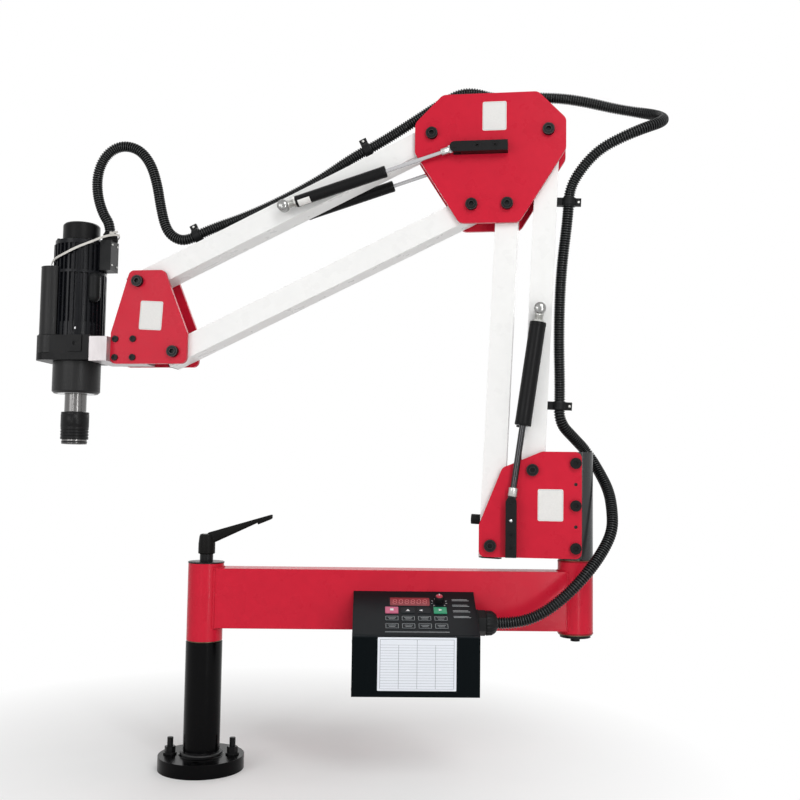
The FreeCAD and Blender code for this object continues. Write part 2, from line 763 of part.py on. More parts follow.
# ---------------------------------------------------------------- spring lugs

def lug(screws):
    """A bar with a forked end, a pin across the fork, and two counterbored screws.
    It lies along its X from the screw end, centred in Z; y runs away from the plate."""
    body = box("lug_long - lug_wide / 2", "lug_deep", "lug_wide", 0, "-plate_out - lug_deep", "-lug_wide / 2")
    nose = rod("lug_wide / 2", "lug_deep", "lug_long - lug_wide / 2", "-plate_out - lug_deep", 0, "Y")
    slot = box("lug_slot_deep + 1", "lug_slot", "lug_wide + 2", "lug_long - lug_slot_deep",
               "-spring_plane - lug_slot / 2", "-lug_wide / 2 - 1")
    pin = rod("lug_pin_radius", "lug_deep", "lug_long - lug_wide / 2", "-plate_out - lug_deep", 0, "Y")
    holes = []
    parts = [pin]
    for at in screws:
        front = "-plate_out - lug_deep"
        holes.append(rod("lug_screw_head_radius", "lug_screw_sink", at, front, 0, "Y"))
        holes.append(rod("lug_screw_radius", "lug_deep + 2", at, front + " - 1", 0, "Y"))
        head = rod("lug_screw_head_radius", "lug_screw_sink - 0.5", at, front + " + 0.5", 0, "Y")
        shank = rod("lug_screw_radius", "lug_deep - 1 + plate_thick", at, front + " + 1", 0, "Y")
        recess = hexagon("lug_screw_radius * 0.8", "lug_screw_sink / 2", at, front + " + 0.5", 0, "Y")
        parts.append(cut(fuse(head, shank), recess))
    parts.append(cut(fuse(body, nose), slot, pin, *holes))
    return parts


def lug_pair(label, u, z, turn, screws):
    """One lug on the front plate and one turned about the arm plane on the rear plate."""
    parts = []
    for flip in (0, 180):
        one = group(*lug(screws))
        seat = "placement(vector(%s; 0; %s); rotation(vector(0; 1; 0); %s))" % (u, z, turn)
        roll = "placement(vector(0; 0; 0); rotation(vector(1; 0; 0); %d))" % flip
        one.setExpression("Placement", sized("%s * %s" % (seat, roll)))
        parts.append(one)
    return node(label, group(*parts), ARM)


# ---------------------------------------------------------------- arm tubes

def arm_tube(label, length, frame):
    """A box tube with a cross boss at each pivot, along its own Z from the first pivot."""
    tall = "%s + 2 * tube_over" % length
    skin = box("tube_tall", "tube_wide", tall, "-tube_tall / 2", "-tube_wide / 2", "-tube_over")
    inside = box("tube_tall - 2 * tube_wall", "tube_wide - 2 * tube_wall", tall + " + 2",
                 "-tube_tall / 2 + tube_wall", "-tube_wide / 2 + tube_wall", "-tube_over - 1")
    bosses = [rod("boss_radius", "tube_wide", 0, "-tube_wide / 2", z, "Y") for z in (0, length)]
    bores = [rod("bush_radius", "tube_wide + 2", 0, "-tube_wide / 2 - 1", z, "Y") for z in (0, length)]
    node(label, cut(fuse(cut(skin, inside), *bosses), *bores), frame)

    bushes = []
    flange = "(plate_gap - tube_wide) / 2 - side_gap"
    for z in (0, length):
        for side in (-1, 1):
            shell_y = "-tube_wide / 2" if side < 0 else "tube_wide / 2 - arm_bush_long"
            flange_y = "-tube_wide / 2 - (%s)" % flange if side < 0 else "tube_wide / 2"
            outer = fuse(rod("bush_radius", "arm_bush_long", 0, shell_y, z, "Y"),
                         rod("arm_bush_flange_radius", flange, 0, flange_y, z, "Y"))
            bore = rod("pin_radius + run_gap", "plate_gap", 0, "%s - 5" % shell_y, z, "Y")
            bushes.append(cut(outer, bore))
    node(label + "_bushes", group(*bushes), frame)


def ball_studs(label, at, frame):
    """A ball stud on each side face of a tube."""
    parts = []
    for side in (-1, 1):
        long = "spring_plane - tube_wide / 2"
        start = "-spring_plane" if side < 0 else "tube_wide / 2"
        stud = rod("ball_neck_radius", long, 0, start, at, "Y")
        parts.append(fuse(stud, ball("ball_radius", 0, "%d * spring_plane" % side, at)))
    node(label, group(*parts), frame)


def conduit_clips(label, places, frame):
    """Two-piece clips that hold the conduit clear of the tube's +X face."""
    parts = []
    for at in places:
        low = "%s - clip_wide / 2" % at
        ring = rod("conduit_radius + clip_wall", "clip_wide", "conduit_off", 0, low)
        foot = bar("conduit_off - tube_tall / 2", "conduit_radius * 1.2", "clip_wide",
                   "tube_tall / 2", "0", low)
        ear = bar("conduit_radius + clip_wall + clip_ear", "clip_wall * 2", "clip_wide",
                  "conduit_off", "0", low)
        bore = rod("conduit_radius + clip_gap", "clip_wide + 2", "conduit_off", 0, low + " - 1")
        parts.append(cut(fuse(ring, foot, ear), bore))
    node(label, group(*parts), frame)


def build_arms():
    arm_tube("rear_post", "post_length", REAR_POST)
    arm_tube("front_post", "post_length", FRONT_POST)
    arm_tube("upper_arm", "forearm_length", UPPER_ARM)
    arm_tube("lower_arm", "forearm_length", LOWER_ARM)
    ball_studs("post_ball_studs", "post_ball_at", REAR_POST)
    ball_studs("arm_ball_studs", "arm_ball_at", UPPER_ARM)
    conduit_clips("post_clips", ("post_clip_low_at", "post_clip_high_at"), REAR_POST)
    conduit_clips("arm_clips", ("arm_clip_near_at", "arm_clip_far_at"), UPPER_ARM)
    buffer = rod("buffer_radius", "buffer_long", "-tube_tall / 2 - buffer_long", 0, "buffer_at", "X")
    node("fold_buffer", buffer, FRONT_POST)


# ---------------------------------------------------------------- elbow

def build_elbow():
    right = [
        ("elbow_foot_half", "-elbow_foot_drop"), ("elbow_side", "-elbow_side_drop"),
        ("elbow_side", "elbow_side_rise"), ("elbow_top_half", "elbow_top_rise"),
    ]
    left = [("-(%s)" % u, z) for u, z in reversed(right)]
    pivots = [("-upper_half", "0"), ("upper_half", "0"),
              ("-lower_half", "-row_gap"), ("lower_half", "-row_gap")]
    holes = [(u, z, "pin_radius + pin_hole_gap") for u, z in pivots]
    for at in ("arm_lug_screw_a", "arm_lug_screw_b"):
        holes.append(("arm_lug_right_u - %s - elbow_u" % at, "arm_lug_z - elbow_z", "lug_screw_radius"))
    for side in ("front", "rear"):
        plate("elbow_plate", right + left, holes, ELBOW, side, "elbow_corner")
    bolts = []
    for u, z in pivots:
        bolts += pivot_bolt(u, z)
    node("elbow_bolts", group(*bolts), ELBOW)


# ---------------------------------------------------------------- gas springs

def spring_pair(which, frame):
    """A gas spring on each side, along its own Z from the ball stud to the lug's pin."""
    length = which + "_spring_long"
    cylinder_end = which + "_cylinder_end"
    fitting_radius = which + "_rod_fitting_radius"
    cylinders = []
    rods = []
    for side in (-1, 1):
        mid = "%d * spring_plane" % side
        inside = "%s - cylinder_start" % cylinder_end
        skin = rod(which + "_cylinder_radius", inside, 0, mid, "cylinder_start")
        bore = rod(which + "_cylinder_bore", inside, 0, mid, "cylinder_start + 8")
        neck = rod("cylinder_neck_radius", "cylinder_start - 4", 0, mid, "5")
        cup_low = "-spring_plane - socket_cup_long / 2" if side < 0 else "spring_plane - socket_cup_long / 2"
        cup = rod("socket_cup_radius", "socket_cup_long", 0, cup_low, 0, "Y")
        pocket_deep = "socket_cup_long / 2 + ball_radius + ball_gap + 1"
        pocket_low = "spring_plane - socket_cup_long / 2 - 1"
        if side < 0:
            pocket_low = "-spring_plane - ball_radius - ball_gap"
        pocket = rod("ball_radius + ball_gap", pocket_deep, 0, pocket_low, 0, "Y")
        cylinders.append(cut(fuse(skin, neck, cup), bore, pocket))

        fitting_top = "%s - rod_fitting_from_eye" % length
        rod_low = "%s - rod_hidden" % cylinder_end
        shaft = rod(which + "_rod_radius", "%s - (%s)" % (fitting_top, rod_low), 0, mid, rod_low)
        block = rod(fitting_radius, "rod_fitting_long", 0, mid, "%s - rod_fitting_long" % fitting_top)
        tongue = bar("2 * tongue_radius", "tongue_thick", "rod_fitting_from_eye + 1", "-tongue_radius", mid,
                     "%s - 1" % fitting_top)
        eye = rod("tongue_radius", "tongue_thick", 0, "%s - tongue_thick / 2" % mid, length, "Y")
        hole = rod("lug_pin_radius + run_gap", "tongue_thick + 2", 0,
                   "%s - tongue_thick / 2 - 1" % mid, length, "Y")
        rods.append(cut(fuse(shaft, block, tongue, eye), hole))
    node(which + "_spring_cylinders", group(*cylinders), frame)
    node(which + "_spring_rods", group(*rods), frame)


# ---------------------------------------------------------------- head

def build_head():
    corners = [
        ("-head_left", "-head_low"), ("head_right", "-head_low"), ("head_right", "head_shoulder"),
        ("-head_top_right", "head_top"), ("-head_top_left", "head_top"), ("-head_left", "head_shoulder"),
    ]
    pivots = [(0, 0), ("-row_offset", "row_gap")]
    screws = [("-head_left + block_screw_edge + %d * block_screw_pitch" % i,
               "-block_screw_low + %d * block_screw_pitch" % j) for i in range(2) for j in range(2)]
    holes = [(u, z, "pin_radius + pin_hole_gap") for u, z in pivots]
    holes += [(u, z, "block_screw_radius") for u, z in screws]
    for side in ("front", "rear"):
        plate("head_plate", corners, holes, HEAD, side)
    bolts = []
    for u, z in pivots:
        bolts += pivot_bolt(u, z)
    for side in (-1, 1):
        for u, z in screws:
            bolts.append(cap_screw(u, z, side, "block_screw_radius", "block_screw_head_radius",
                                   "block_screw_head_tall", "block_screw_deep"))
    node("head_bolts", group(*bolts), HEAD)

    # mounting block: a wide face against the spindle clamp and a neck between the side plates
    wide = bar("spindle_from_pivot - clamp_right - head_left", "2 * clamp_half_deep", "block_tall",
               "-spindle_from_pivot + clamp_right", "0", "-block_drop")
    neck = bar("neck_long + 1", "plate_gap", "neck_drop + neck_rise", "-head_left - 1", "0", "-neck_drop")
    tapped = screw_holes(screws, "block_screw_radius", "block_screw_deep")
    node("head_block", cut(fuse(wide, neck), *tapped), HEAD)

    # spindle clamp: a block with rounded outer corners, a seat for the side cover's foot,
    # and a pad with the clamp screw's hole
    straight = bar("clamp_left + clamp_right - clamp_corner", "2 * clamp_half_deep", "clamp_tall",
                   "-clamp_left + clamp_corner", "0", "clamp_low_z")
    slim = bar("clamp_corner + 1", "2 * (clamp_half_deep - clamp_corner)", "clamp_tall", "-clamp_left", "0",
               "clamp_low_z")
    corner_rods = [rod("clamp_corner", "clamp_tall", "-clamp_left + clamp_corner",
                       "%d * (clamp_half_deep - clamp_corner)" % side, "clamp_low_z") for side in (-1, 1)]
    pad_block = box("pad_wide", "pad_proud + 1", "pad_tall", "pad_u - pad_wide / 2",
                    "-clamp_half_deep - pad_proud", "clamp_top_z - pad_tall")
    pad_hole = rod("pad_hole_radius", "pad_proud + 12", "pad_u", "-clamp_half_deep - pad_proud - 1",
                   "clamp_top_z - pad_tall / 2", "Y")
    centre_bore = rod("clamp_bore", "clamp_tall + 2", 0, 0, "clamp_low_z - 1")
    cover_seat = rod("cover_foot_radius", "cover_foot_deep + 1", "cover_u", "cover_y",
                     "clamp_top_z - cover_foot_deep")
    solid = fuse(straight, slim, pad_block, *corner_rods)
    node("spindle_clamp", cut(solid, centre_bore, pad_hole, cover_seat), SPINDLE)

    # spindle housing with two bearings
    barrel = rod("housing_radius", "housing_tall - housing_chamfer", 0, 0,
                 "housing_low_z + housing_chamfer")
    bevel = cone("housing_radius - housing_chamfer", "housing_radius", "housing_chamfer", 0, 0,
                 "housing_low_z")
    seat_bore = rod("bearing_radius", "housing_tall", 0, 0, "housing_low_z + housing_lip")
    mouth = rod("nose_radius + 1", "housing_tall", 0, 0, "housing_low_z - 1")
    node("spindle_housing", cut(fuse(barrel, bevel), seat_bore, mouth), SPINDLE)
    bearing_seats = ("housing_low_z + housing_lip", "clamp_low_z - bearing_wide")
    bearings = [tube("bearing_radius", "journal_radius + run_gap", "bearing_wide", 0, 0, z)
                for z in bearing_seats]
    node("spindle_bearings", group(*bearings), SPINDLE)

    # rotating spindle: journal, bright nose, chuck core and end ring, bored for the tap holder
    journal_low = "housing_low_z + housing_lip"
    journal = rod("journal_radius", "clamp_top_z - 3 - (%s)" % journal_low, 0, 0, journal_low)
    nose = rod("nose_radius", "nose_long + housing_lip - 0.5", 0, 0, "collar_top_z")
    core = rod("core_radius", "collar_tall + 1", 0, 0, "ring_top_z - 0.5")
    ring = rod("end_ring_radius", "end_ring_tall - side_gap", 0, 0, "chuck_low_z")
    tool = rod("tool_bore_radius", "tool_bore_deep + 1", 0, 0, "chuck_low_z - 1")
    node("spindle_shaft", cut(fuse(journal, nose, core, ring), tool), SPINDLE)

    grooves = [tube("collar_radius + 2", "collar_radius - groove_deep", "groove_wide", 0, 0,
                    "ring_top_z + 5 + %d * groove_pitch" % i) for i in range(3)]
    sleeve = tube("collar_radius", "core_radius + side_gap", "collar_tall", 0, 0, "ring_top_z")
    node("chuck_collar", cut(sleeve, *grooves), SPINDLE)


def build_motor():
    body = doc.addObject("PartDesign::Body", "Body")
    ring = new_sketch(body, "XY_Plane")
    draw_hole(ring, 0, 0, "motor_core_radius")
    pad(body, ring, "motor_foot_tall + fin_tall + bell_tall")
    rib = new_sketch(body, "XY_Plane")
    draw_outline(rib, [("0", "-fin_thick / 2"), ("fin_reach", "-fin_thick / 2"),
                       ("fin_reach", "fin_thick / 2"), ("0", "fin_thick / 2")])
    fin = pad(body, rib, "motor_foot_tall + fin_tall")
    pattern = body.newObject("PartDesign::PolarPattern", "PolarPattern")
    axis = [item for item in body.Origin.OriginFeatures if item.Role == "Z_Axis"][0]
    pattern.Originals = [fin]
    pattern.Axis = (axis, [""])
    pattern.Angle = 360
    pattern.Occurrences = 32
    body.Tip = pattern
    foot = rod("motor_foot_radius", "motor_foot_tall", 0, 0, 0)
    seam = rod("fin_radius", "motor_seam_tall", 0, 0, "motor_foot_tall + motor_seam_at")
    bell = rod("motor_foot_radius", "bell_tall", 0, 0, "motor_foot_tall + fin_tall")
    node("servo_motor", fuse(body, foot, seam, bell), in_arm_plane("spindle_u", "clamp_top_z", "0"))

    cap_z = "clamp_top_z + motor_foot_tall + fin_tall + bell_tall"
    top = rod("cap_radius", "cap_tall - cap_round", 0, 0, cap_z)
    edge = cone("cap_radius", "cap_radius - cap_round", "cap_round", 0, 0, cap_z + " + cap_tall - cap_round")
    node("motor_cap", fuse(top, edge), SPINDLE)

    # the cover's foot sits in the clamp's seat; above it the can fits round the motor
    can = rod("cover_radius", "cover_tall", "cover_u", "cover_y", "clamp_top_z")
    motor_space = rod("fin_radius + run_gap", "cover_tall + 2", 0, 0, "clamp_top_z - 1")
    foot = rod("cover_foot_radius", "cover_foot_deep", "cover_u", "cover_y", "clamp_top_z - cover_foot_deep")
    bore_space = rod("clamp_bore", "cover_foot_deep + 2", 0, 0, "clamp_top_z - cover_foot_deep - 1")
    node("side_cover", fuse(cut(can, motor_space), cut(foot, bore_space)), SPINDLE)

    # connector box on the motor's arm side with a collar for the conduit, and a plug below it
    shell = bar("connector_reach", "connector_deep", "connector_tall", 0, "0",
                "clamp_top_z + connector_top - connector_tall")
    collar = rod("connector_collar_radius", "connector_collar_tall", "connector_collar_at", 0,
                 "clamp_top_z + connector_top")
    plug_z = "clamp_top_z + plug_low"
    plug = fuse(rod("plug_radius", "plug_tall", "plug_u", "plug_y", plug_z),
                ball("plug_radius", "plug_u", "plug_y", plug_z),
                ball("plug_radius", "plug_u", "plug_y", plug_z + " + plug_tall"))
    motor_cut = rod("fin_radius + run_gap", "connector_top + 1", 0, 0, "clamp_top_z")
    node("motor_connector", group(cut(fuse(shell, collar), motor_cut), cut(plug, motor_cut)), SPINDLE)


# ---------------------------------------------------------------- control box

def build_control_box():
    back = "-beam_deep / 2"
    drop = "panel_thick / cos(panel_tilt * 1 deg)"
    outer = swept("YZ_Plane", [
        (back, "case_low_z"), (back, "case_top_z - " + drop),
        ("case_front_y", "case_crease_z - " + drop), ("case_front_y", "case_low_z"),
    ], "case_long")
    placed(outer, "case_left", 0, 0)
    inner_back = back + " - case_wall"
    inner_front = "case_front_y + case_wall"
    inner = swept("YZ_Plane", [
        (inner_back, "case_low_z + case_wall"), (inner_back, "case_top_z + 30"),
        (inner_front, "case_crease_z + 30"), (inner_front, "case_low_z + case_wall"),
    ], "case_long - 2 * case_wall")
    placed(inner, "case_left + case_wall", 0, 0)
    gland_hole = rod("gland_thread_radius + side_gap", "case_wall + 2",
                     "case_left + case_long - case_wall - 1", "gland_y", "gland_z", "X")
    node("control_case", cut(outer, inner, gland_hole))

    # the panel's own frame: X along the machine, Y up the slope from its top edge, Z out of its face
    lean_in = "panel_thick * tan(panel_tilt * 1 deg)"
    face = swept("YZ_Plane", [
        (0, 0), ("-" + lean_in, "-panel_thick"),
        ("-panel_long - " + lean_in, "-panel_thick"), ("-panel_long", 0),
    ], "case_long")
    under = "-panel_thick - 1"
    knob_hole = rod("knob_shaft_radius + side_gap", "panel_thick + 2", "knob_x", "-knob_s", under)
    key_holes = [box("key_wide + 2 * side_gap", "key_tall + 2 * side_gap", "panel_thick + 2",
                     "%s - key_wide / 2 - side_gap" % x, "-key_s - key_tall / 2 - side_gap", under)
                 for x in ("stop_key_x", "start_key_x")]
    node("control_panel", cut(face, knob_hole, *key_holes), SLOPE)
    grip = cone("knob_radius", "knob_radius * 0.82", "knob_tall", "knob_x", "-knob_s", "side_gap")
    shaft = rod("knob_shaft_radius", "knob_tall + panel_thick + 4", "knob_x", "-knob_s", "-panel_thick - 4")
    node("control_knob", fuse(grip, shaft), SLOPE)
    for name, x in (("stop_key", "stop_key_x"), ("start_key", "start_key_x")):
        cap = box("key_wide", "key_tall", "panel_thick + key_thick", "%s - key_wide / 2" % x,
                  "-key_s - key_tall / 2", "-panel_thick")
        node(name, cap, SLOPE)

    wall = "case_left + case_long"
    nut = hexagon("gland_radius", "gland_long * 0.45", wall, "gland_y", "gland_z", "X")
    dome = cone("gland_radius * 0.92", "conduit_radius + 4", "gland_long * 0.55",
                wall + " + gland_long * 0.45", "gland_y", "gland_z", "X")
    thread = rod("gland_thread_radius", "case_wall + 8", wall + " - case_wall - 8", "gland_y", "gland_z", "X")
    bore = rod("conduit_radius - 2", "gland_long + 2 * case_wall + 20", wall + " - case_wall - 10",
               "gland_y", "gland_z", "X")
    node("cable_gland", cut(fuse(nut, dome, thread), bore))


# ---------------------------------------------------------------- conduit

def tangent_path(points):
    """Straight runs joined by tangent arcs; prints the tightest radius."""
    edges = []
    start = points[0]
    tightest = 1e9
    for before, corner, after in zip(points, points[1:], points[2:]):
        one = (before - corner)
        two = (after - corner)
        turn = math.pi - one.getAngle(two)
        reach = 0.45 * min(one.Length, two.Length)
        radius = reach / math.tan(turn / 2)
        tightest = min(tightest, radius)
        one.normalize()
        two.normalize()
        first = corner + one * reach
        last = corner + two * reach
        bisector = (one + two).normalize()
        middle = corner + bisector * (math.hypot(radius, reach) - radius)
        edges.append(Part.LineSegment(start, first).toShape())
        edges.append(Part.Arc(first, middle, last).toShape())
        start = last
    edges.append(Part.LineSegment(start, points[-1]).toShape())
    return Part.Wire(edges), tightest


def conduit_span(label, points):
    wire, tightest = tangent_path(points)
    radius = size("conduit_radius")
    direction = points[1] - points[0]
    profile = Part.Wire([Part.Circle(points[0], direction, radius).toShape()])
    shape = wire.makePipeShell([profile], True, False)
    print("%s: length %.0f, tightest radius %.0f, volume ratio %.4f"
          % (label, wire.Length, tightest, shape.Volume / (math.pi * radius ** 2 * wire.Length)))
    piece = doc.addObject("Part::Feature", "Conduit")
    piece.Shape = shape
    node(label, piece)


def build_conduit():
    swivel_axis = Vector(size("beam_span"), 0, 0)
    arm = FreeCAD.Placement(swivel_axis, FreeCAD.Rotation(Vector(0, 0, 1), size("arm_yaw")))

    def on_plane(u, y, z):
        return arm.multVec(Vector(u, y, z))

    def by_gland(x, y, z):
        return Vector(gland_x + x * unit, gland_y + y * unit, gland_z + z * unit)

    def by_hub(x, y, z):
        return Vector(span + x * unit, gland_y + y * unit, gland_z + z * unit)

    def by_bar(u, y, z):
        return on_plane(u * unit, y * unit, post_top + z * unit)

    def beside(pivot, turn, at, off, y=0):
        """A point at a distance along a tube and off its axis, on its +X side."""
        angle = math.radians(turn)
        u = pivot[0] + at * math.sin(angle) + off * math.cos(angle)
        return on_plane(u, y, pivot[1] + at * math.cos(angle) - off * math.sin(angle))

    heel = (size("heel_u"), size("heel_z"))
    elbow = (size("elbow_u"), size("elbow_z"))
    shoulder = (size("elbow_u - upper_half"), size("elbow_z"))
    motor = (size("spindle_u"), size("clamp_top_z"))
    post_top = size("post_bar_top")
    span = size("beam_span")
    lean = size("post_lean")
    droop = size("-90 - forearm_droop")
    off = size("conduit_off")
    low_clip = size("post_clip_low_at")
    high_clip = size("post_clip_high_at")
    near_clip = size("arm_clip_near_at")
    far_clip = size("arm_clip_far_at")
    unit = size("conduit_unit")
    half = 24 * unit
    gland_x = size("case_left + case_long + gland_long")
    gland_y = size("gland_y")
    gland_z = size("gland_z")
    motor_x = size("spindle_u + connector_collar_at")
    motor_z = size("clamp_top_z + connector_top + connector_collar_tall")

    def by_elbow(u, y, z):
        return on_plane(elbow[0] + u * unit, y * unit, elbow[1] + z * unit)

    def by_motor(u, z):
        return on_plane(motor[0] + u * unit, 0, motor[1] + z * unit)

    def by_post(share, out):
        """Between the post's clips, and out from the line through them."""
        return beside(heel, lean, low_clip + share * (high_clip - low_clip), off + out * unit)

    def by_arm(share, out, y):
        """Between the arm's clips, out from the line through them and to the rear."""
        at = near_clip + share * (far_clip - near_clip)
        return beside(shoulder, droop, at, off + out * unit, y * unit)

    from_box = [
        by_gland(0, 0, 0), by_gland(32, 0, 0), by_hub(-72.5, -6, 14), by_hub(-30.5, -9, 46),
        by_hub(7.5, -2, 85),
    ]
    round_post = [
        by_bar(46, -47, -163.5), by_bar(61, -32, -132), by_bar(62, -12, -100), by_bar(58, 14, -66),
        by_bar(42, 36, -32), by_bar(22, 56, 2), by_bar(0, 30, 24),
        beside(heel, lean, low_clip - 28 * unit, off),
    ]
    up_post = [
        beside(heel, lean, low_clip + half, off), by_post(0.35, -7),
        by_post(0.65, -8), beside(heel, lean, high_clip - half, off),
    ]
    loop = [
        beside(heel, lean, high_clip + half, off), by_elbow(160, -16, -64), by_elbow(190, -30, -36),
        by_elbow(230, -36, -17), by_elbow(268, -32, -1), by_elbow(296, -18, 12),
        by_elbow(304, 6, 27), by_elbow(290, 28, 42), by_elbow(260, 40, 52),
        by_elbow(218, 40, 61), by_elbow(170, 28, 70), by_elbow(124, 17, 75),
        by_elbow(70, 11, 76), by_elbow(12, 8, 73), by_elbow(-46, 7, 92),
        by_elbow(-92, 4, 68), by_elbow(-145, 1, 33), beside(shoulder, droop, near_clip - half, off),
    ]
    along_arm = [
        beside(shoulder, droop, near_clip + half, off), by_arm(0.32, -8, 13),
        by_arm(0.675, -8, 13), beside(shoulder, droop, far_clip - half, off),
    ]
    to_motor = [
        beside(shoulder, droop, far_clip + half, off), by_motor(183, 188), by_motor(166, 207),
        by_motor(155, 248), by_motor(147, 291), by_motor(133, 332), by_motor(108, 361),
        by_motor(72, 369), by_motor(42, 351), by_motor(27, 316), by_motor(28, 275),
        by_motor(41, 237), on_plane(motor_x, 0, motor_z + half), on_plane(motor_x, 0, motor_z),
    ]

    # neighbouring spans meet square at the middle of a straight run
    spans = [("conduit_beam", from_box), ("conduit_post", round_post + up_post), ("conduit_elbow", loop),
             ("conduit_arm", along_arm), ("conduit_head", to_motor)]
    for i, (label, points) in enumerate(spans):
        ends = list(points)
        if i > 0:
            ends.insert(0, (spans[i - 1][1][-1] + points[0]) * 0.5)
        if i < len(spans) - 1:
            ends.append((points[-1] + spans[i + 1][1][0]) * 0.5)
        conduit_span(label, ends)


# ---------------------------------------------------------------- assembly

build_base()
build_clamp()
build_beam()
build_bracket()
lug_pair("post_spring_lugs", "post_lug_u", "post_lug_low_z", "-90", ("post_lug_screw_a", "post_lug_screw_b"))
lug_pair("arm_spring_lugs", "arm_lug_right_u", "arm_lug_z", "180", ("arm_lug_screw_a", "arm_lug_screw_b"))
build_arms()
build_elbow()
spring_pair("post", POST_SPRING)
spring_pair("arm", ARM_SPRING)
build_head()
build_motor()
build_control_box()
build_conduit()
doc.recompute()

faults = ["%s %s" % (item.Name, item.State) for item in doc.Objects
          if "Invalid" in item.State or "Error" in item.State]
faults += ["%s has no valid shape" % item.Label for item in NODES
           if item.Shape.isNull() or not item.Shape.isValid()]
if faults:
    raise SystemExit("\n".join(faults))

os.makedirs("parts", exist_ok=True)
for item in NODES:
    item.Shape.exportStep("parts/%s.step" % item.Label)
print(len(NODES), "sub-parts written")
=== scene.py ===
"""Arm tapping machine: materials, fine detail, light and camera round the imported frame.

Sizes of the detail pieces are in millimetres and are scaled to metres when a mesh is made.
The conduit's route and the camera are in metres.
"""
import bisect
import math

import bmesh
import bpy
from mathutils import Matrix, Vector


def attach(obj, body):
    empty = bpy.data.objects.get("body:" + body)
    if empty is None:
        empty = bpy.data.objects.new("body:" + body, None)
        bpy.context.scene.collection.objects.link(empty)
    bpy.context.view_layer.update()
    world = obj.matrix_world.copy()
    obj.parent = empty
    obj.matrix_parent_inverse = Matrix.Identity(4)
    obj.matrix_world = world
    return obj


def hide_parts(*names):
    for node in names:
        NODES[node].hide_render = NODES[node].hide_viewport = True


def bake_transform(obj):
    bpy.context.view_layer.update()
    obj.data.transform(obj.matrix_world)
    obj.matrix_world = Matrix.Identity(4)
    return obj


MM = 0.001
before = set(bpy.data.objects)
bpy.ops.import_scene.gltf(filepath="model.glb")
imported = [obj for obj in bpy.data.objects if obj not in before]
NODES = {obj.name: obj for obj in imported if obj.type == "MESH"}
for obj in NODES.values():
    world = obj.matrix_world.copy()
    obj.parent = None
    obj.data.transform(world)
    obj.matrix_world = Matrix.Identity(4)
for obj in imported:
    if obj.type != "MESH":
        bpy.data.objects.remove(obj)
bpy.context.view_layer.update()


def new_object(name, data):
    """A new object in the scene."""
    item = bpy.data.objects.new(name, data)
    bpy.context.scene.collection.objects.link(item)
    return item


# ---- camera (metres, radians)

PHOTO_SIDE = 800
FOCAL_PIXELS = 1010.145
SENSOR = 36.0
CAMERA_AT = Vector((0.272384, -1.744493, 0.495308))
CAMERA_YAW = -0.0306381
CAMERA_PITCH = 0.0734581
CAMERA_ROLL = -0.0138678


def make_camera():
    data = bpy.data.cameras.new("camera")
    data.sensor_width = SENSOR
    data.lens = SENSOR * FOCAL_PIXELS / PHOTO_SIDE
    data.clip_start = 0.05
    data.clip_end = 60
    camera = new_object("camera", data)
    turn = (Matrix.Rotation(CAMERA_YAW, 3, "Z") @ Matrix.Rotation(CAMERA_PITCH, 3, "X")
            @ Matrix.Rotation(CAMERA_ROLL, 3, "Y"))
    right, forward, up = turn.col
    axes = Matrix((right, up, -forward)).transposed().to_4x4()
    camera.matrix_world = Matrix.Translation(CAMERA_AT) @ axes
    bpy.context.scene.camera = camera


make_camera()

# ---- the machine's own sizes and frames (mm)

BEAM_SPAN = 631.5
ARM_YAW = math.radians(-10.1)
POST_LEAN = math.radians(2.45)
DROOP = math.radians(25.52)
ARM_TURN = -math.pi / 2 - DROOP
HEEL = (-72.9, 505.8)
FOOT = (-144.3, 375.8)
POST_LENGTH = 594.6
FOREARM_LENGTH = 598.1
ROW_GAP = 130.0
ROW_OFFSET = 71.4
UPPER_HALF = 102.6
LOWER_HALF = UPPER_HALF - ROW_OFFSET
ELBOW = (HEEL[0] + POST_LENGTH * math.sin(POST_LEAN) - UPPER_HALF,
         HEEL[1] + POST_LENGTH * math.cos(POST_LEAN))
SHOULDER = (ELBOW[0] - UPPER_HALF, ELBOW[1])
WRIST = (ELBOW[0] - LOWER_HALF - FOREARM_LENGTH * math.cos(DROOP),
         ELBOW[1] - ROW_GAP - FOREARM_LENGTH * math.sin(DROOP))
PLATE_OUT = 36.0
PIN_HEAD_TALL = 8.0
SPRING_PLANE = 46.0
POST_BALL_AT = 277.0
ARM_BALL_AT = 294.4
POST_EYE = (-108.5, 449.75)
ARM_EYE = (-210.05, 1069.3)
LUG_OUT = PLATE_OUT + 20.0
CLIP_OFF = 40.5
POST_CLIPS = (114, POST_LENGTH - 119.1)
ARM_CLIPS = (117, FOREARM_LENGTH - 128.1)

STUDS_AT = (-52, 52)
HUB_RADIUS = 30.0
HUB_TOP = 341.0
SWIVEL_LOW, SWIVEL_TOP = 228.4, 352.0
SPACER_TALL = 15.0
BEAM_HALF_DEEP = 25.0
BEAM_LOW, BEAM_TOP = 234.5, 333.6

SPINDLE_REACH = 202.0
SPINDLE_U = WRIST[0] - SPINDLE_REACH
CLAMP_DROP = 16.0
CLAMP_TALL = 46.0
CLAMP_TOP = WRIST[1] - CLAMP_DROP + CLAMP_TALL
HOUSING_TALL = 59.0
NOSE_LONG = 34.5
COLLAR_TALL = 50.5
HOUSING_LOW = CLAMP_TOP - CLAMP_TALL - HOUSING_TALL
COLLAR_LOW = HOUSING_LOW - NOSE_LONG - COLLAR_TALL
MOTOR_FOOT_TALL = 26.0
FIN_TALL = 147.0
BELL_TALL = 8.0
MOTOR_TALL = MOTOR_FOOT_TALL + FIN_TALL + BELL_TALL
COVER_AT = (-38.5, -31)
CONNECTOR_REACH = 67
CONNECTOR_TOP = 183
CONNECTOR_COLLAR_AT = 57
CONNECTOR_COLLAR_TALL = 8

